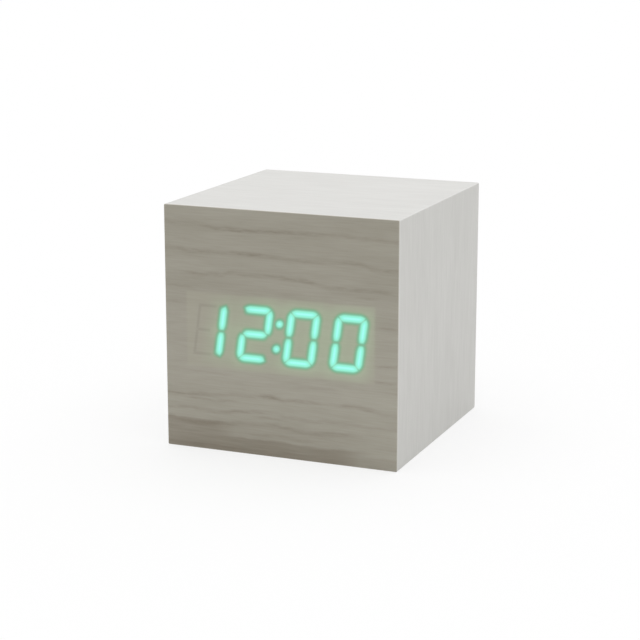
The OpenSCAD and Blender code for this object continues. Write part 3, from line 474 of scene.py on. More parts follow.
def shown_time(tree, place):
    """Distances in millimetres from the lit and the dark bars, and the light spilt round the lit ones."""
    spot = axes(tree, place)
    up = calc(tree, "MULTIPLY_ADD", spot["Z"], MM, -middle.z * MM)
    across = calc(tree, "MULTIPLY_ADD", up, -figure_lean, calc(tree, "MULTIPLY", spot["X"], MM))
    lit, dark, glow = far_off, far_off, 0.0
    for centre, shown in zip(figure_places, figures_shown):
        sign = add(tree, "ShaderNodeGroup", node_tree=figure)
        tree.links.new(calc(tree, "SUBTRACT", across, centre), sign.inputs["Across"])
        tree.links.new(up, sign.inputs["Up"])
        for bar in bars:
            sign.inputs[bar].default_value = float(bar in shown)
        lit = calc(tree, "MINIMUM", lit, sign.outputs["Lit"])
        dark = calc(tree, "MINIMUM", dark, sign.outputs["Dark"])
        glow = calc(tree, "ADD", glow, sign.outputs["Glow"])
    dot_up = calc(tree, "SUBTRACT", calc(tree, "ABSOLUTE", up), dot_pitch / 2)
    dot_across = calc(tree, "SUBTRACT", across, dot_place)
    dot_off = calc(tree, "SUBTRACT", hypotenuse(tree, dot_up, dot_across), dot_d / 2)
    lit = calc(tree, "MINIMUM", lit, dot_off)
    return lit, dark, glow


# Grain of the front, in millimetres. A row wanders across the face through points, each given by its place,
# height and strength. Single marks have a height, two ends, a half thickness and a strength, and the bands of
# painted shade that darken the front towards its base an upper edge, the blur of that edge, a right end and a
# strength.
grain_rows = [
    [(-32, 59.3, 0.5), (-24, 59.0, 0.25), (-17, 58.4, 0.7), (0, 58.3, 0.85), (6, 58.3, 0.55),
     (14, 58.7, 0.45), (20, 58.7, 0.5), (32, 58.0, 0.45)],
    [(-32, 52.6, 0.3), (-21, 52.1, 0.7), (-14, 52.2, 0.4), (-11, 52.2, 0.9), (-6, 52.2, 0.9), (-3, 51.9, 0.5),
     (10, 51.5, 0.4), (14, 51.8, 0.2), (18, 52.1, 0.55), (22, 52.0, 0.5), (25, 51.1, 0.5), (32, 50.8, 0.5)],
    [(-28, 46.0, 0.0), (-24, 46.1, 0.55), (-16, 46.2, 0.55), (-13, 47.3, 0.5), (-5, 46.9, 0.4),
     (3, 46.9, 0.7), (8, 46.4, 0.75), (11, 45.7, 0.4), (18, 45.4, 0.55), (28, 45.4, 0.55), (31, 45.4, 0.0)],
    [(-32, 14.1, 0.55), (-27, 14.2, 0.65), (-20, 14.8, 0.55), (-13, 15.2, 0.4), (-6, 15.5, 0.5),
     (-3, 15.7, 0.95), (1, 15.5, 0.8), (8, 15.4, 0.5), (14, 15.6, 0.2), (18, 15.6, 0.6), (25, 15.4, 0.7),
     (28, 14.5, 0.3), (32, 14.3, 0.25)],
    [(-32, 10.0, 0.5), (-24, 10.6, 0.45), (-18, 10.5, 0.5), (-14, 10.7, 0.7), (-6, 11.3, 0.5),
     (-2, 11.3, 0.1), (2, 10.8, 0.4), (14, 10.8, 0.4), (22, 10.9, 0.35), (32, 10.9, 0.4)],
    [(-32, 7.7, 0.45), (-22, 7.0, 0.45), (-13, 7.6, 0.4), (-10, 8.1, 0.35), (2, 8.0, 0.4), (8, 7.6, 0.3),
     (17, 8.0, 0.5), (24, 7.8, 0.0)],
]
row_half = 0.95
grain_marks = [
    (43.5, 19, 28, 0.5, 0.4), (42.6, -33, -23, 0.5, 0.35), (38.5, -34, -25, 0.6, 0.4),
    (36.3, 24, 34, 0.5, 0.45), (26.7, 24, 34, 0.5, 0.45), (22.7, 23, 34, 0.6, 0.6),
    (20.5, -30, -12, 0.6, 0.25), (19.2, 2, 18, 0.6, 0.25), (13.5, -28, -10, 0.6, 0.45),
    (9.9, -8, 4, 0.6, 0.5), (5.4, -10, 12, 0.8, 0.3),
]
base_shade_bands = [(7.9, 1.2, -7, 0.68), (8.4, 2.5, 23, 0.27), (4.2, 1.0, 27, 0.78), (1.9, 1.2, 25, 0.95),
              (2.9, 0.6, 60, 0.3)]
base_shade_fade = 12
line_fade = 4.0
grain_sway = 0.45
grain_least, grain_most = 0.31, 0.86

# Patches of the front's noise patterns, in metres: fibres and clouds in the colour, the sway of the grain
# lines, the breaks in them and the streaks in the painted shade near the base.
front_fibre, front_cloud = (0.007, 0.004, 0.0004), (0.028, 0.02, 0.0035)
sway_patch, break_patch, shade_streak_patch = (0.006, 0.006, 0.005), (0.0028, 0.004, 0.0005), (0.014, 0.004, 0.0007)
front_depth = 0.00002
# Front tone: partly its own warmer wood, partly painted shade that makes the front darker than the sides.
front_shaded_dark, front_shaded_light = (0.330, 0.310, 0.256, 1), (0.390, 0.371, 0.315, 1)
grain_and_shade_brown = (0.66, 0.615, 0.575, 1)
upper_shade = (0.905, 0.90, 0.89, 1)
shade_from, shade_full = 18, 44
pale_edge_highlight = (0.58, 0.565, 0.52, 1)
window_lift = (1.06, 1.07, 1.05, 1)
window_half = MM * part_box("display_reflector")[1].x + 0.9
window_rise = MM * (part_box("display_reflector")[1].z - middle.z) + 0.6
window_blur = 0.7
spill_past_window = 0.35
# The plain tone in the window carries the same painted shade as the rest of the front.
window_shaded_plain = (0.343, 0.3235, 0.27, 1)
window_calm = 0.45
bar_shade = 0.12

# Light of the lit bars at levels from outside their edge to inside it, in millimetres: the share of the
# wood's colour that is left, and the light that comes through. Some more light is spilt round the bars.
veil_stops = [(1.1, 1.0), (0.72, 0.82), (0.42, 0.6), (0.15, 0.53), (-0.05, 0.47), (-0.8, 0.4)]
shine_stops = [(1.1, (0, 0, 0)), (0.72, (0, 0.055, 0.022)), (0.42, (0, 0.15, 0.08)),
               (0.15, (0, 0.275, 0.165)), (-0.05, (0.085, 0.48, 0.36)), (-0.27, (0.13, 0.65, 0.50)),
               (-0.5, (0.125, 0.72, 0.60)), (-0.8, (0.22, 0.79, 0.765))]
unlit, spilt_light = (0, 0, 0, 1), (0.024, 0.076, 0.030, 1)

streak, given, wanted = new_group("grain_line", ["Across", "Up", "Height", "From", "To", "Thickness"],
                                  ["Mark"])
run = calc(streak, "SUBTRACT", given["Across"], given["From"])
off_line = apart(streak, given["Up"], given["Height"])
mark = fade(streak, off_line, given["Thickness"], 0.0, style="SMOOTHSTEP")
mark = calc(streak, "MULTIPLY", mark, fade(streak, run, 0.0, line_fade, style="SMOOTHSTEP"))
to_end = calc(streak, "SUBTRACT", given["To"], given["Across"])
streak.links.new(calc(streak, "MULTIPLY", mark, fade(streak, to_end, 0.0, line_fade, style="SMOOTHSTEP")),
                 wanted["Mark"])


def along(tree, across, points):
    """A value that follows a curve through points across the face."""
    curve = add(tree, "ShaderNodeFloatCurve", {"Value": across})
    curve.mapping.use_clip = False
    course = curve.mapping.curves[0].points
    while len(course) < len(points):
        course.new(0, 0)
    for point, place in zip(course, points):
        point.location = place
        point.handle_type = "AUTO_CLAMPED"
    curve.mapping.update()
    return curve.outputs[0]


def glow_ramp(tree, level, stops):
    """Colours at levels of the light, from the first stop to the last."""
    outer, inner = stops[0][0], stops[-1][0]
    ramp = add(tree, "ShaderNodeValToRGB", {0: fade(tree, level, outer, inner)})
    points = ramp.color_ramp.elements
    while len(points) < len(stops):
        points.new(0.5)
    for point, (stop, hue) in zip(points, stops):
        point.position = (outer - stop) / (outer - inner)
        point.color = (*hue, 1)
    return ramp.outputs[0]


front_wood, tree, shader, place = new_finish("front_wood_skin")
spot = axes(tree, place)
fibre = mottle(tree, place, front_fibre, detail=3)
cloud = mottle(tree, place, front_cloud, detail=3)
sway = mottle(tree, place, sway_patch, detail=3)
broken = mottle(tree, place, break_patch, detail=4)
tone = blend(tree, cloud, fibre, 0.55)
colour = tint(tree, fade(tree, tone, 0.3, 0.7), front_shaded_dark, front_shaded_light)
height = calc(tree, "MULTIPLY", spot["Z"], MM)
# Painted shade: the front gets darker towards its top.
colour = tint(tree, fade(tree, height, shade_from, shade_full), colour, shaded(tree, colour, upper_shade))

across = calc(tree, "MULTIPLY", spot["X"], MM)
up = calc(tree, "ADD", height, fade(tree, sway, 0.2, 0.8, -grain_sway, grain_sway))
grain = 0.0
for points in grain_rows:
    level = along(tree, across, [(x, z) for x, z, strength in points])
    on_row = fade(tree, apart(tree, up, level), row_half, 0.0, style="SMOOTHSTEP")
    grain = calc(tree, "MULTIPLY_ADD", on_row,
                 along(tree, across, [(x, strength) for x, z, strength in points]), grain)
for level, start, end, thickness, strength in grain_marks:
    line = add(tree, "ShaderNodeGroup", {"Across": across, "Up": up}, node_tree=streak)
    for socket, value in (("Height", level), ("From", start), ("To", end), ("Thickness", thickness)):
        line.inputs[socket].default_value = value
    grain = calc(tree, "MULTIPLY_ADD", line.outputs["Mark"], strength, grain)
grain = calc(tree, "MULTIPLY", grain, fade(tree, broken, 0.35, 0.65, grain_least, grain_most))
# Painted shade: bands that darken the front towards its base, streaked like the grain.
band = 0.0
for level, blur, end, strength in base_shade_bands:
    below = fade(tree, up, level + blur / 2, level - blur / 2, 0.0, strength, "SMOOTHSTEP")
    mark = calc(tree, "MULTIPLY", below, fade(tree, across, end, end - base_shade_fade, style="SMOOTHSTEP"))
    band = calc(tree, "MAXIMUM", band, mark)
shade_streaks = mottle(tree, place, shade_streak_patch, detail=3)
# The painted shade near the base joins the grain and darkens the colour by the same brown.
grain = calc(tree, "MULTIPLY_ADD", band, fade(tree, shade_streaks, 0.3, 0.7, 0.8, 1.15), grain)
colour = tint(tree, calc(tree, "MINIMUM", grain, 1.0), colour, shaded(tree, colour, grain_and_shade_brown))

in_window = calc(
    tree, "MULTIPLY",
    fade(tree, calc(tree, "ABSOLUTE", across), window_half, window_half - window_blur),
    fade(tree, apart(tree, height, middle.z * MM), window_rise, window_rise - window_blur))
colour = tint(tree, calc(tree, "MULTIPLY", in_window, window_calm), colour, window_shaded_plain)
colour = tint(tree, in_window, colour, shaded(tree, colour, window_lift))

lit, dark, glow = shown_time(tree, place)
shade = calc(tree, "MULTIPLY", fade(tree, dark, -0.3, -0.85), fade(tree, glow, 0.7, 0.5, 0.0, bar_shade))
veil = glow_ramp(tree, lit, [(level, (share, share, share)) for level, share in veil_stops])
colour = shaded(tree, shaded(tree, colour, veil), calc(tree, "SUBTRACT", 1.0, shade))
spill = calc(tree, "MULTIPLY", fade(tree, glow, 0.0, 1.2), fade(tree, in_window, 0.0, 1.0, spill_past_window))
spilt = tint(tree, spill, unlit, spilt_light)
shining = tint(tree, 1.0, glow_ramp(tree, lit, shine_stops), spilt, "ADD")
# The rim round the face is pale: partly sanded wood, partly painted highlight.
on_face = fade(tree, spot["Y"], front_y + 0.6 * front_round, front_y + 0.15 * front_round)
tree.links.new(tint(tree, on_face, pale_edge_highlight, colour), shader.inputs["Base Color"])
tree.links.new(tint(tree, on_face, unlit, shining), shader.inputs["Emission Color"])
shader.inputs["Emission Strength"].default_value = 1.0
shader.inputs["Specular IOR Level"].default_value = wood_sheen
tree.links.new(fade(tree, fibre, 0.3, 0.7, 0.66, 0.52), shader.inputs["Roughness"])
relief(tree, shader, calc(tree, "SUBTRACT", fibre, calc(tree, "MULTIPLY", grain, 0.5)), front_depth)
fit(front_skin, front_wood, ["front_veneer"])


# Display module: a pale moulded reflector with one light shaft to each bar, filled with milky resin, over a
# circuit board that holds a light chip behind each shaft. Four screws and nylon spacers hold it to the front.
reflector_pale, resin_milk, lit_aqua = (0.62, 0.65, 0.56), (0.66, 0.70, 0.62), (0.16, 0.86, 0.66, 1)
chip_yellow, nylon_white = (0.78, 0.70, 0.22), (0.78, 0.76, 0.68)
mask_green, track_green, pad_gold = (0.012, 0.085, 0.035, 1), (0.03, 0.15, 0.06, 1), (0.72, 0.52, 0.18, 1)
track_pitch, track_depth, track_run, track_band = 0.00127, 0.00003, 0.014, 0.0012
pad_pitch, board_stain = 0.005, 0.002
moulded_cloud, moulded_dark, moulded_light = 0.011, 0.86, 1.12
metal_stain, metal_dark, metal_light, metal_depth = 0.003, 0.85, 1.05, 0.000004


def toned(colour, factor):
    """A lighter or darker colour of the same hue."""
    return (*(min(1.0, part * factor) for part in colour), 1)


def moulded(name, colour, smooth=0.45, rough=0.6, grain=0.0003, depth=0.00001):
    """Moulded plastic: a fine eroded texture and slight clouds in the colour."""
    material, tree, shader, place = new_finish(name)
    speckle = mottle(tree, place, grain, detail=3)
    tone = blend(tree, mottle(tree, place, moulded_cloud), speckle, 0.5)
    colour = tint(tree, fade(tree, tone, 0.32, 0.68),
                  toned(colour, moulded_dark), toned(colour, moulded_light))
    tree.links.new(colour, shader.inputs["Base Color"])
    tree.links.new(fade(tree, speckle, 0.3, 0.7, smooth, rough), shader.inputs["Roughness"])
    relief(tree, shader, speckle, depth)
    return material, tree, shader, place, colour


def metal(name, colour, smooth=0.25, rough=0.42, drawn=(0.004, 0.0003, 0.004)):
    """Plated or drawn metal: fine marks left by its making, and slight stains."""
    material, tree, shader, place = new_finish(name)
    marks = mottle(tree, place, drawn, detail=3)
    stain = mottle(tree, place, metal_stain, detail=3)
    colour = tint(tree, fade(tree, stain, 0.3, 0.7), toned(colour, metal_dark), toned(colour, metal_light))
    tree.links.new(colour, shader.inputs["Base Color"])
    tree.links.new(fade(tree, marks, 0.3, 0.7, smooth, rough), shader.inputs["Roughness"])
    shader.inputs["Metallic"].default_value = 1.0
    relief(tree, shader, marks, metal_depth)
    return material


dress(moulded("reflector_plastic_finish", reflector_pale)[0], "display_reflector")
dress(moulded("light_chip_resin", chip_yellow, 0.2, 0.35)[0], "display_led_chips")

segment_resin, tree, shader, place, colour = moulded("segment_resin", resin_milk, 0.25, 0.4, 0.0005)
lit, dark, glow = shown_time(tree, place)
tree.links.new(tint(tree, fade(tree, lit, 0.4, 0.0), unlit, lit_aqua), shader.inputs["Emission Color"])
shader.inputs["Emission Strength"].default_value = 1.0
dress(segment_resin, "hour_tens_segments", "hour_units_segments", "minute_tens_segments",
      "minute_units_segments", "colon_dots")

circuit_board, tree, shader, place = new_finish("circuit_board_mask")
spot = axes(tree, place)
tracks = 0.0
for line_way, run_way in (("X", (track_band, 1, track_run)), ("Z", (track_run, 1, track_band))):
    step = calc(tree, "FRACT", calc(tree, "MULTIPLY", spot[line_way], 1 / track_pitch))
    on_line = fade(tree, apart(tree, step, 0.5), 0.22, 0.16)
    used = fade(tree, mottle(tree, place, run_way), 0.50, 0.53)
    tracks = calc(tree, "MAXIMUM", tracks, calc(tree, "MULTIPLY", on_line, used))
pads = add(tree, "ShaderNodeTexVoronoi", {"Vector": place, "Scale": 1 / pad_pitch}, feature="F1")
on_pad = fade(tree, pads.outputs["Distance"], 0.13, 0.11)
colour = tint(tree, on_pad, tint(tree, tracks, mask_green, track_green), pad_gold)
tree.links.new(colour, shader.inputs["Base Color"])
tree.links.new(on_pad, shader.inputs["Metallic"])
tree.links.new(fade(tree, mottle(tree, place, board_stain), 0.3, 0.7, 0.22, 0.4), shader.inputs["Roughness"])
relief(tree, shader, tracks, track_depth)
dress(circuit_board, "display_board", "main_board")
dress(moulded("nylon_finish", nylon_white, 0.4, 0.55)[0], "display_standoffs", "display_socket",
      "ribbon_socket", "battery_socket")

# Flat cable: ten wires side by side in a soft grey jacket, with the first one marked red. Its ends are
# pressed into the sockets of the two boards.
cable_low, cable_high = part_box("ribbon_cable")
cable_wires, groove_depth = 10, 0.0002
jacket_grey, first_red, groove_shade = (0.30, 0.31, 0.32), (0.45, 0.02, 0.02, 1), (0.4, 0.4, 0.4, 1)
ribbon_jacket, tree, shader, place, colour = moulded("ribbon_jacket_finish", jacket_grey, 0.4, 0.5)
wire = calc(tree, "MULTIPLY", calc(tree, "SUBTRACT", axes(tree, place)["X"], cable_low.x),
            cable_wires / (cable_high.x - cable_low.x))
groove = fade(tree, apart(tree, calc(tree, "FRACT", wire), 0.5), 0.5, 0.3)
first = fade(tree, wire, 1.02, 0.98)
colour = tint(tree, first, colour, first_red)
# Painted shade darkens the grooves between the wires.
tree.links.new(tint(tree, groove, shaded(tree, colour, groove_shade), colour), shader.inputs["Base Color"])
relief(tree, shader, groove, groove_depth)
dress(ribbon_jacket, "ribbon_cable")


# Screws: zinc-plated steel with cross recesses. Four countersunk wood screws hold the rear panel, and sets of
# four pan-head screws hold the display, the main board and the battery tray.
screw_kinds = {
    "pan": {"Head Base": 0.0019, "Head Rim": 0.0019, "Head Crown": 0.0013, "Base Level": 0.0,
            "Rim Level": 0.0009, "Crown Level": 0.0014, "Shank Radius": 0.001},
    "countersunk": {"Head Base": 0.0008, "Head Rim": 0.0023, "Head Crown": 0.00215, "Base Level": -0.0013,
                    "Rim Level": -0.00012, "Crown Level": 0.0, "Shank Radius": 0.0011},
}
recess_sizes = {"Recess Width": 0.0006, "Recess Span": 0.0023, "Recess Depth": 0.0007}
core_share, tip_share = 0.74, 1.6
thread_pitch = 0.0009
screw_sides = 32
weld_reach = 0.000002
zinc_grey, zinc_spangle = (0.72, 0.72, 0.70), 0.0006


def new_maker(name, sizes, **others):
    """An empty Geometry Nodes tree with a number socket for each size, and sockets of other kinds."""
    tree = bpy.data.node_groups.new(name, "GeometryNodeTree")
    tree.interface.new_socket("Geometry", in_out="OUTPUT", socket_type="NodeSocketGeometry")
    for socket in sizes:
        tree.interface.new_socket(socket, in_out="INPUT", socket_type="NodeSocketFloat")
    for socket, kind in others.items():
        tree.interface.new_socket(socket, in_out="INPUT", socket_type=kind)
    tree.interface.new_socket("Material", in_out="INPUT", socket_type="NodeSocketMaterial")
    return tree, add(tree, "NodeGroupInput").outputs


def close_maker(tree, geometry, material):
    """Ends a tree: real geometry with its material."""
    whole = add(tree, "GeometryNodeRealizeInstances", {0: geometry}).outputs[0]
    finished = add(tree, "GeometryNodeSetMaterial", {"Geometry": whole, "Material": material}).outputs[0]
    tree.links.new(finished, add(tree, "NodeGroupOutput").inputs[0])


def grown(name, tree, sizes, place=Matrix()):
    """A piece made by a Geometry Nodes tree with these sizes, kept as a plain mesh in its place."""
    piece = bpy.data.objects.new(name, bpy.data.meshes.new(name))
    bpy.context.scene.collection.objects.link(piece)
    maker = piece.modifiers.new("maker", "NODES")
    maker.node_group = tree
    for socket in tree.interface.items_tree:
        if socket.in_out == "INPUT":
            maker[socket.identifier] = sizes[socket.name]
    made = bpy.data.meshes.new_from_object(piece.evaluated_get(bpy.context.evaluated_depsgraph_get()))
    piece.modifiers.remove(maker)
    made.transform(place)
    made.shade_smooth()
    made.set_sharp_from_angle(angle=math.radians(35))
    piece.data = made
    return piece


def vector(tree, **parts):
    """A vector of the given X, Y and Z, or 0 for those that aren't given."""
    return add(tree, "ShaderNodeCombineXYZ", parts).outputs[0]


def moved(tree, geometry, way):
    """Geometry moved along a vector."""
    return add(tree, "GeometryNodeTransform", {"Geometry": geometry, "Translation": way}).outputs[0]


def swept(tree, course, radius, sides):
    """A rod along a course, with closed ends and a round section of this many sides."""
    section = add(tree, "GeometryNodeCurvePrimitiveCircle", {"Resolution": sides, "Radius": radius})
    return add(tree, "GeometryNodeCurveToMesh", {
        "Curve": course, "Profile Curve": section.outputs[0], "Fill Caps": True}).outputs[0]


def facing(origin, across, outward):
    """The place of a piece whose own X runs across and whose own Z points outward."""
    across, outward = Vector(across), Vector(outward)
    turned_axes = Matrix((across, outward.cross(across), outward)).transposed().to_4x4()
    return Matrix.Translation(origin) @ turned_axes


screws, given = new_maker("screw_set", [*screw_kinds["pan"], *recess_sizes, "Length", "Thread Pitch",
                                        "Spacing Across", "Spacing Up"])
core = calc(screws, "MULTIPLY", given["Shank Radius"], core_share)
tip = calc(screws, "MULTIPLY", given["Length"], -1.0)
tip_end = calc(screws, "MULTIPLY_ADD", given["Shank Radius"], tip_share, tip)
outline = [(tip, 0.0), (tip_end, core), (given["Base Level"], core),
           (given["Base Level"], given["Head Base"]), (given["Rim Level"], given["Head Rim"]),
           (given["Crown Level"], given["Head Crown"])]
lathe = add(screws, "GeometryNodeJoinGeometry")
for (low, low_radius), (high, high_radius) in zip(outline, outline[1:]):
    band = add(screws, "GeometryNodeMeshCone", {
        "Vertices": screw_sides, "Radius Bottom": low_radius, "Radius Top": high_radius,
        "Depth": calc(screws, "SUBTRACT", high, low)}, fill_type="NONE")
    screws.links.new(moved(screws, band.outputs["Mesh"], vector(screws, Z=low)), lathe.inputs[0])
disc = add(screws, "GeometryNodeMeshCircle", {"Vertices": screw_sides, "Radius": given["Head Crown"]},
           fill_type="NGON")
top_level = vector(screws, Z=given["Crown Level"])
screws.links.new(moved(screws, disc.outputs[0], top_level), lathe.inputs[0])
closed = add(screws, "GeometryNodeMergeByDistance", {"Geometry": lathe.outputs[0], "Distance": weld_reach})
recessed = add(screws, "GeometryNodeMeshBoolean", {"Mesh 1": closed.outputs[0]}, operation="DIFFERENCE",
               solver="EXACT")
for long_way, short_way in (("X", "Y"), ("Y", "X")):
    size = vector(screws, **{long_way: given["Recess Span"], short_way: given["Recess Width"],
                             "Z": calc(screws, "MULTIPLY", given["Recess Depth"], 2.0)})
    arm = add(screws, "GeometryNodeMeshCube", {"Size": size}).outputs["Mesh"]
    screws.links.new(moved(screws, arm, top_level), recessed.inputs["Mesh 2"])
thread_run = calc(screws, "SUBTRACT", given["Base Level"], tip_end)
thread_depth = calc(screws, "SUBTRACT", given["Shank Radius"], core)
helix = add(screws, "GeometryNodeCurveSpiral", {
    "Resolution": 16, "Rotations": calc(screws, "DIVIDE", thread_run, given["Thread Pitch"]),
    "Start Radius": core, "End Radius": core, "Height": thread_run})
thread = swept(screws, helix.outputs[0], thread_depth, 4)
screw = add(screws, "GeometryNodeJoinGeometry", {0: recessed.outputs[0]})
screws.links.new(moved(screws, thread, vector(screws, Z=tip_end)), screw.inputs[0])
holes = add(screws, "GeometryNodeMeshGrid", {"Size X": given["Spacing Across"], "Size Y": given["Spacing Up"],
                                             "Vertices X": 2, "Vertices Y": 2})
placed = add(screws, "GeometryNodeInstanceOnPoints", {"Points": holes.outputs["Mesh"],
                                                      "Instance": screw.outputs[0]})
close_maker(screws, placed.outputs[0], given["Material"])

screw_steel = metal("zinc_plated_steel", zinc_grey, drawn=zinc_spangle)
for node, kind, across, outward in (
        ("rear_screws", "countersunk", (1, 0, 0), (0, 1, 0)), ("display_screws", "pan", (1, 0, 0), (0, 1, 0)),
        ("main_board_screws", "pan", (1, 0, 0), (0, -1, 0)), ("tray_screws", "pan", (1, 0, 0), (0, 0, 1))):
    shape = screw_kinds[kind]
    low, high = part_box(node)
    span = high - low
    head = 2 * shape["Head Rim"]
    out = Vector(outward)
    crown = max(low.dot(out), high.dot(out))
    seat = crown - shape["Crown Level"]
    up_axis = out.cross(Vector(across))
    sizes = {**shape, **recess_sizes, "Thread Pitch": thread_pitch, "Material": screw_steel,
             "Length": abs(span.dot(out)) - shape["Crown Level"],
             "Spacing Across": span.x - head, "Spacing Up": abs(span.dot(up_axis)) - head}
    centre = (low + high) / 2
    place = facing(centre - out * centre.dot(out) + out * seat, across, outward)
    fit(grown(node + "_set", screws, sizes, place), screw_steel, [node])


# Battery compartment: a black moulded tray under the base board, screwed down by four ears, with a hinged
# door below. Its three cells press on coil springs and tinned plates, and two leads go up to the main board.
plastic_black = (0.018, 0.018, 0.019)
tray_ease, door_ease, door_least_turn = 0.00015, 0.0002, 18
rib_count, rib_pitch, rib_len, rib_r = 5, 0.0010, 0.013, 0.00022
door_low, door_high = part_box("battery_door")
scoop_round, scoop_depth, scoop_back = 0.007, 0.0007, 0.006
same_point, same_plane = 0.000001, math.radians(0.5)


def eased(node, name, ease, least_turn=40):
    """A copy of a CAD piece with its edges slightly rounded, as they leave the mould or the press."""
    bm = bmesh.new()
    bm.from_mesh(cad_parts[node].data)
    bmesh.ops.remove_doubles(bm, verts=bm.verts, dist=same_point)
    bmesh.ops.dissolve_limit(bm, angle_limit=same_plane, verts=bm.verts, edges=bm.edges)
    piece = as_piece(name, bm, crease=180)
    bevel = piece.modifiers.new("eased_edges", "BEVEL")
    bevel.width = ease
    bevel.segments = 3
    bevel.limit_method = "ANGLE"
    bevel.angle_limit = math.radians(least_turn)
    bevel.harden_normals = True
    return piece


black_plastic = moulded("black_plastic_finish", plastic_black, 0.42, 0.58)[0]
fit(eased("battery_tray", "battery_tray_moulding", tray_ease), black_plastic,
    ["battery_tray"])
fit(eased("battery_door", "battery_door_moulding", door_ease, door_least_turn), black_plastic,
    ["battery_door"], "door")

ribs, given = new_maker("grip_ribs", ["Pitch", "Rib Length", "Rib Radius", "Scoop Radius", "Scoop Top"],
                        Count="NodeSocketInt")
first_rib = calc(ribs, "MULTIPLY", calc(ribs, "SUBTRACT", given["Count"], 1.0),
                 calc(ribs, "MULTIPLY", given["Pitch"], -0.5))
row = add(ribs, "GeometryNodeMeshLine", {"Count": given["Count"], "Start Location": vector(ribs, Y=first_rib),
                                         "Offset": vector(ribs, Y=given["Pitch"])})
back = axes(ribs, add(ribs, "GeometryNodeInputPosition").outputs[0])["Y"]
radius = given["Scoop Radius"]
fall = calc(ribs, "SQRT", calc(ribs, "SUBTRACT", calc(ribs, "MULTIPLY", radius, radius),
                               calc(ribs, "MULTIPLY", back, back)))
level = calc(ribs, "ADD", calc(ribs, "SUBTRACT", fall, radius), given["Scoop Top"])
seated = add(ribs, "GeometryNodeSetPosition", {"Geometry": row.outputs[0], "Offset": vector(ribs, Z=level)})
end_left, end_right = (vector(ribs, X=calc(ribs, "MULTIPLY", given["Rib Length"], share))
                       for share in (-0.5, 0.5))
rib_line = add(ribs, "GeometryNodeCurvePrimitiveLine", {"Start": end_left, "End": end_right}).outputs[0]
placed = add(ribs, "GeometryNodeInstanceOnPoints", {
    "Points": seated.outputs[0], "Instance": swept(ribs, rib_line, given["Rib Radius"], 16)})
close_maker(ribs, placed.outputs[0], given["Material"])
grip = grown("battery_door_ribs", ribs, {
    "Count": rib_count, "Pitch": rib_pitch, "Rib Length": rib_len, "Rib Radius": rib_r,
    "Scoop Radius": scoop_round, "Scoop Top": door_low.z + scoop_depth, "Material": black_plastic},
    Matrix.Translation((0, door_high.y - scoop_back, 0)))
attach(grip, "door")


def lathed(name, profile, place, sides=64):
    """A turned piece: profile gives its radius and height from one end of its axis to the other."""
    bm = bmesh.new()
    loops = []
    for radius, height in profile:
        loops.append([bm.verts.new((radius * math.cos(2 * math.pi * k / sides),
                                    radius * math.sin(2 * math.pi * k / sides), height))
                      for k in range(sides if radius > 0 else 1)])
    for near, far in zip(loops, loops[1:]):
        for k in range(sides):
            n = k + 1
            corners = [near[k % len(near)], near[n % len(near)], far[n % len(far)], far[k % len(far)]]
            bm.faces.new(list(dict.fromkeys(corners)))
    bm.transform(place)
    bmesh.ops.recalc_face_normals(bm, faces=bm.faces)
    return as_piece(name, bm)


# Cells: size AAA, each a steel can in a plain printed sleeve that is shrunk over both rims, with signs near
# its ends. They lie side by side in the tray, the middle one the other way round.
sleeve_slate, sleeve_pale, sign_white = (0.045, 0.075, 0.11), (0.62, 0.63, 0.62, 1), (0.85, 0.85, 0.83, 1)
can_steel = (0.62, 0.61, 0.59, 1)
sleeve_grain, sleeve_depth = 0.0006, 0.000004
cell_r, cell_body, cell_len = 0.00525, 0.0433, 0.0445
cell_outline = [(0, 0), (0.0030, 0), (0.0032, 0.0002), (0.0043, 0.0002), (0.0045, 0.0), (0.0049, 0.0),
                (0.00515, 0.0001), (cell_r, 0.0004), (cell_r, cell_body - 0.0005),
                (0.0051, cell_body - 0.0001), (0.0048, cell_body), (0.0045, cell_body - 0.0002),
                (0.0021, cell_body - 0.0002), (0.0019, cell_body), (0.0019, cell_len - 0.0002),
                (0.00175, cell_len - 0.00005), (0.0015, cell_len), (0, cell_len)]
bare_r, bare_edge = 0.0047, 0.00005
band_len, band_edge = 0.0095, 0.0001
plus_inset, minus_inset, sign_arm, sign_line, ink_edge = 0.0060, 0.0405, 0.0016, 0.0003, 0.00005

for cell in ("battery_cell_1", "battery_cell_2", "battery_cell_3"):
    low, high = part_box(cell)
    centre = (low + high) / 2
    way = 1 if high.x > -low.x else -1
    plus_x = high.x if way > 0 else low.x
    jacket, tree, shader, place, colour = moulded(cell + "_sleeve", sleeve_slate, 0.28, 0.36,
                                                  sleeve_grain, sleeve_depth)
    spot = axes(tree, place)
    from_plus = calc(tree, "MULTIPLY_ADD", spot["X"], -way, way * plus_x)
    side = apart(tree, spot["Y"], centre.y)
    rise = calc(tree, "SUBTRACT", spot["Z"], centre.z)
    colour = tint(tree, fade(tree, from_plus, band_len, band_len - band_edge), colour, sleeve_pale)
    below = fade(tree, rise, 0.0, -band_edge)
    for inset, long_arm, ink in ((plus_inset, sign_arm, toned(sleeve_slate, 1)),
                                 (minus_inset, sign_line, sign_white)):
        off = apart(tree, from_plus, inset)
        cross_bar, long_bar = (
            calc(tree, "MULTIPLY", fade(tree, off, length, length - ink_edge),
                 fade(tree, side, width, width - ink_edge))
            for length, width in ((sign_line, sign_arm), (long_arm, sign_line)))
        colour = tint(tree, calc(tree, "MULTIPLY", below, calc(tree, "MAXIMUM", cross_bar, long_bar)),
                      colour, ink)
    bare = fade(tree, hypotenuse(tree, rise, side), bare_r + bare_edge, bare_r)
    tree.links.new(tint(tree, bare, colour, can_steel), shader.inputs["Base Color"])
    tree.links.new(bare, shader.inputs["Metallic"])
    seat = facing((plus_x - way * cell_len, centre.y, centre.z), (0, 1, 0), (way, 0, 0))
    fit(lathed(cell + "_can", cell_outline, seat), jacket, [cell])

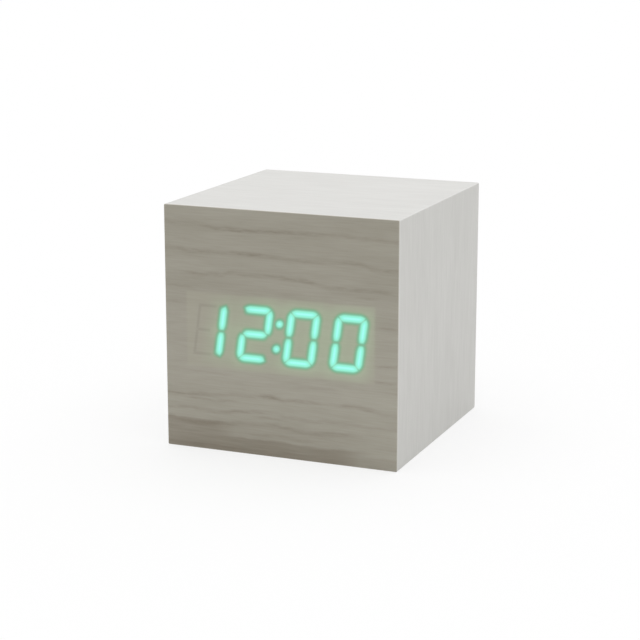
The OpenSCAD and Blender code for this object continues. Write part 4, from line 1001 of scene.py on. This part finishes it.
# Contacts: springs of tinned wire that taper from the plate to the cell, and pressed plates with solder tabs.
# The plates stand at the tray's two ends, and each spring presses on a cell's flat end.
contact_tin, tin_spangle = (0.74, 0.73, 0.70), 0.0005
spring_base_r, spring_tip_r, spring_wire_r, spring_len, spring_turns = 0.0036, 0.0022, 0.0003, 0.0041, 3.0
bay_count, plate_ease = 3, 0.00008
tinned = metal("tinned_contact", contact_tin, 0.2, 0.38, tin_spangle)
springs, given = new_maker("contact_springs", ["Base Radius", "Tip Radius", "Wire Radius", "Spring Length",
                                               "Turns", "Plate", "First Bay", "Bay Pitch", "Axis Height"])
coil = add(springs, "GeometryNodeCurveSpiral", {
    "Resolution": 32, "Rotations": given["Turns"],
    "Start Radius": calc(springs, "SUBTRACT", given["Base Radius"], given["Wire Radius"]),
    "End Radius": calc(springs, "SUBTRACT", given["Tip Radius"], given["Wire Radius"]),
    "Height": calc(springs, "MULTIPLY_ADD", given["Wire Radius"], -2.0, given["Spring Length"])})
spring = swept(springs, coil.outputs[0], given["Wire Radius"], 12)
bays = add(springs, "GeometryNodeMeshLine", {
    "Count": bay_count, "Start Location": vector(springs, Y=given["First Bay"], Z=given["Axis Height"]),
    "Offset": vector(springs, Y=given["Bay Pitch"])})
odd = calc(springs, "MODULO", add(springs, "GeometryNodeInputIndex").outputs[0], 2.0)
way = calc(springs, "MULTIPLY_ADD", odd, -2.0, 1.0)
foot = calc(springs, "SUBTRACT", given["Wire Radius"], given["Plate"])
at_plate = add(springs, "GeometryNodeSetPosition", {
    "Geometry": bays.outputs[0], "Offset": vector(springs, X=calc(springs, "MULTIPLY", foot, way))})
aim = vector(springs, Y=calc(springs, "MULTIPLY", way, math.pi / 2))
placed = add(springs, "GeometryNodeInstanceOnPoints", {"Points": at_plate.outputs[0], "Instance": spring,
                                                       "Rotation": aim})
close_maker(springs, placed.outputs[0], given["Material"])
first_low, first_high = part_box("battery_cell_1")
next_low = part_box("battery_cell_2")[0]
fit(grown("contact_coils", springs, {
    "Base Radius": spring_base_r, "Tip Radius": spring_tip_r, "Wire Radius": spring_wire_r,
    "Spring Length": spring_len, "Turns": spring_turns, "Plate": first_high.x,
    "First Bay": (first_low.y + first_high.y) / 2, "Bay Pitch": next_low.y - first_low.y,
    "Axis Height": (first_low.z + first_high.z) / 2, "Material": tinned}),
    tinned, ["battery_springs"])
fit(eased("battery_plates", "contact_plates", plate_ease), tinned, ["battery_plates"])

# Leads: soft stranded wire in coloured sleeves, soldered to the tabs of two plates. They rise above the tray
# and run back into the main board's socket.
lead_r, lead_rise, lead_run, lead_side = 0.0007, 0.009, 0.014, 0.0015
solder_depth = 0.0002
lead_red, lead_black = (0.42, 0.02, 0.02), (0.02, 0.02, 0.021)
leads, given = new_maker("battery_lead", ["Radius"], Start="NodeSocketVector", Rise="NodeSocketVector",
                         Run="NodeSocketVector", End="NodeSocketVector")
route = add(leads, "GeometryNodeCurvePrimitiveBezierSegment", {
    "Resolution": 40, "Start": given["Start"], "Start Handle": given["Rise"], "End Handle": given["Run"],
    "End": given["End"]}, mode="POSITION")
close_maker(leads, swept(leads, route.outputs[0], given["Radius"], 20), given["Material"])
socket_low, socket_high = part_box("battery_socket")
plates_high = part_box("battery_plates")[1]
for node, slot, colour, way, cell in (("battery_wire_red", "red_wire", lead_red, 1, "battery_cell_3"),
                                      ("battery_wire_black", "black_wire", lead_black, -1, "battery_cell_1")):
    low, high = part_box(cell)
    start = Vector((way * (plates_high.x - solder_depth), (low.y + high.y) / 2, plates_high.z))
    end = Vector((way * lead_side, socket_low.y, (socket_low.z + socket_high.z) / 2))
    finish = moulded(node + "_sleeve", colour, 0.35, 0.45)[0]
    fit(grown(node + "_lead", leads, {
        "Radius": lead_r, "Start": start, "Rise": start + Vector((0, 0, lead_rise)),
        "Run": end - Vector((0, lead_run, 0)), "End": end, "Material": finish}), finish, [node])


# Main board: carries the controller, its crystal, the alarm's buzzer, the coin cell that keeps the time, the
# microphone, the power inlet and three switches. It is screwed to the bosses of the control plate.
resin_black, can_grey, coin_grey, pin_brass = (
    (0.022, 0.022, 0.024), (0.70, 0.70, 0.69), (0.66, 0.65, 0.63), (0.80, 0.60, 0.28))
can_marks, coin_marks, pin_marks = (0.0003, 0.003, 0.0003), (0.003, 0.003, 0.0003), (0.0004, 0.003, 0.0004)
inlet_ease = 0.00025
capacitor_blue, stripe_grey = (0.03, 0.045, 0.10), (0.55, 0.56, 0.58, 1)
stripe_half, stripe_edge = 0.0011, 0.0001

dress(moulded("controller_resin", resin_black, 0.45, 0.6, 0.0002)[0], "controller_chip")
dress(metal("drawn_can", can_grey, 0.22, 0.36, can_marks), "clock_crystal", "microphone")
dress(metal("coin_cell_steel", coin_grey, 0.22, 0.34, coin_marks), "coin_cell")
dress(black_plastic, "buzzer", "coin_cell_holder", "tact_switches")
dress(metal("inlet_pin_brass", pin_brass, 0.2, 0.34, pin_marks), "power_jack_pin")
fit(eased("power_jack", "power_inlet", inlet_ease), black_plastic, ["power_jack"])

cap_low, cap_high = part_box("electrolytic_capacitor")
cap_middle = (cap_low + cap_high) / 2
capacitor_sleeve, tree, shader, place, colour = moulded("capacitor_sleeve_finish", capacitor_blue, 0.25, 0.38)
spot = axes(tree, place)
off = apart(tree, spot["X"], cap_middle.x)
stripe = calc(tree, "MULTIPLY", fade(tree, off, stripe_half, stripe_half - stripe_edge),
              fade(tree, spot["Z"], cap_middle.z, cap_middle.z + stripe_edge))
tree.links.new(tint(tree, stripe, colour, stripe_grey), shader.inputs["Base Color"])
dress(capacitor_sleeve, "electrolytic_capacitor")


# Controls: a black moulded insert in the rear panel's opening, with three round keys, the power inlet and the
# microphone's hole. The keys are turned-edge caps with printed signs: a ring, and arrows down and up.
key_dark, sign_grey = (0.045, 0.045, 0.048), (0.72, 0.72, 0.70, 1)
insert_ease = 0.0002
dish, dish_r, cap_round, chamfer = 0.00016, 0.0021, 0.0004, 0.0001
rim_r, rim_back, rim_front, stem_r, cap_r = 0.0035, 0.02815, 0.02915, 0.0015, 0.0028
sign_r, ring_r, ring_line, sign_edge = 0.00062, 0.00095, 0.00016, 0.00004
print_from, print_full = 0.0004, 0.0003

fit(eased("control_plate", "control_insert", insert_ease), black_plastic, ["control_plate"])
for key in ("set", "down", "up"):
    low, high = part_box(key + "_button")
    centre = (low + high) / 2
    face = high.y
    outline = [(0, low.y), (stem_r - chamfer, low.y), (stem_r, low.y + chamfer), (stem_r, rim_back),
               (rim_r - chamfer, rim_back), (rim_r, rim_back + chamfer), (rim_r, rim_front - chamfer),
               (rim_r - chamfer, rim_front), (cap_r, rim_front)]
    for k in range(round_steps + 1):
        turn = math.radians(90 * k / round_steps)
        outline.append((cap_r - cap_round * (1 - math.cos(turn)), face - cap_round * (1 - math.sin(turn))))
    for k in range(round_steps, -1, -1):
        inward = dish_r * k / round_steps
        outline.append((inward, face - dish * (1 - (inward / dish_r) ** 2)))
    cap = lathed(key + "_key_cap", outline, facing((centre.x, 0, centre.z), (1, 0, 0), (0, 1, 0)))
    finish, tree, shader, place, colour = moulded(key + "_key_finish", key_dark, 0.4, 0.52)
    spot = axes(tree, place)
    off = apart(tree, spot["X"], centre.x)
    up = calc(tree, "SUBTRACT", spot["Z"], centre.z)
    if key == "set":
        outside = calc(tree, "SUBTRACT", apart(tree, hypotenuse(tree, off, up), ring_r), ring_line)
    else:
        rise = up if key == "up" else calc(tree, "MULTIPLY", up, -1.0)
        slope = calc(tree, "MULTIPLY_ADD", off, math.sqrt(0.75), calc(tree, "MULTIPLY", rise, 0.5))
        past_side = calc(tree, "MAXIMUM", slope, calc(tree, "MULTIPLY", rise, -1.0))
        outside = calc(tree, "SUBTRACT", past_side, sign_r)
    printed = calc(tree, "MULTIPLY", fade(tree, outside, sign_edge, -sign_edge),
                   fade(tree, spot["Y"], face - print_from, face - print_full))
    tree.links.new(tint(tree, printed, colour, sign_grey), shader.inputs["Base Color"])
    fit(cap, finish, [key + "_button"], key + "_key")
    dress(finish, key + "_plunger")


# Rear: a wood-faced panel let into the back of the case with a hair-line gap, inside a thin frame-shaped skin
# that covers the ends of the four side boards.
panel_ease, panel_gap, frame_corner = 0.00012, 0.00015, 0.0001
frame_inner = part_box("rear_board")[1].x + panel_gap
frame_back, frame_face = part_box("rear_edge_veneer")[0].y, cad_high.y
frame_rings = rounded_face(frame_back, frame_face, half, edge_round, front_round)
frame_rings += [rounded_square(frame_inner, frame_corner, y) for y in (frame_face, frame_back)]
fit(skin("rear_frame_skin", frame_rings, closed=True), wood_across, ["rear_edge_veneer"])
fit(eased("rear_veneer", "rear_panel_skin", panel_ease), wood_across, ["rear_veneer"])
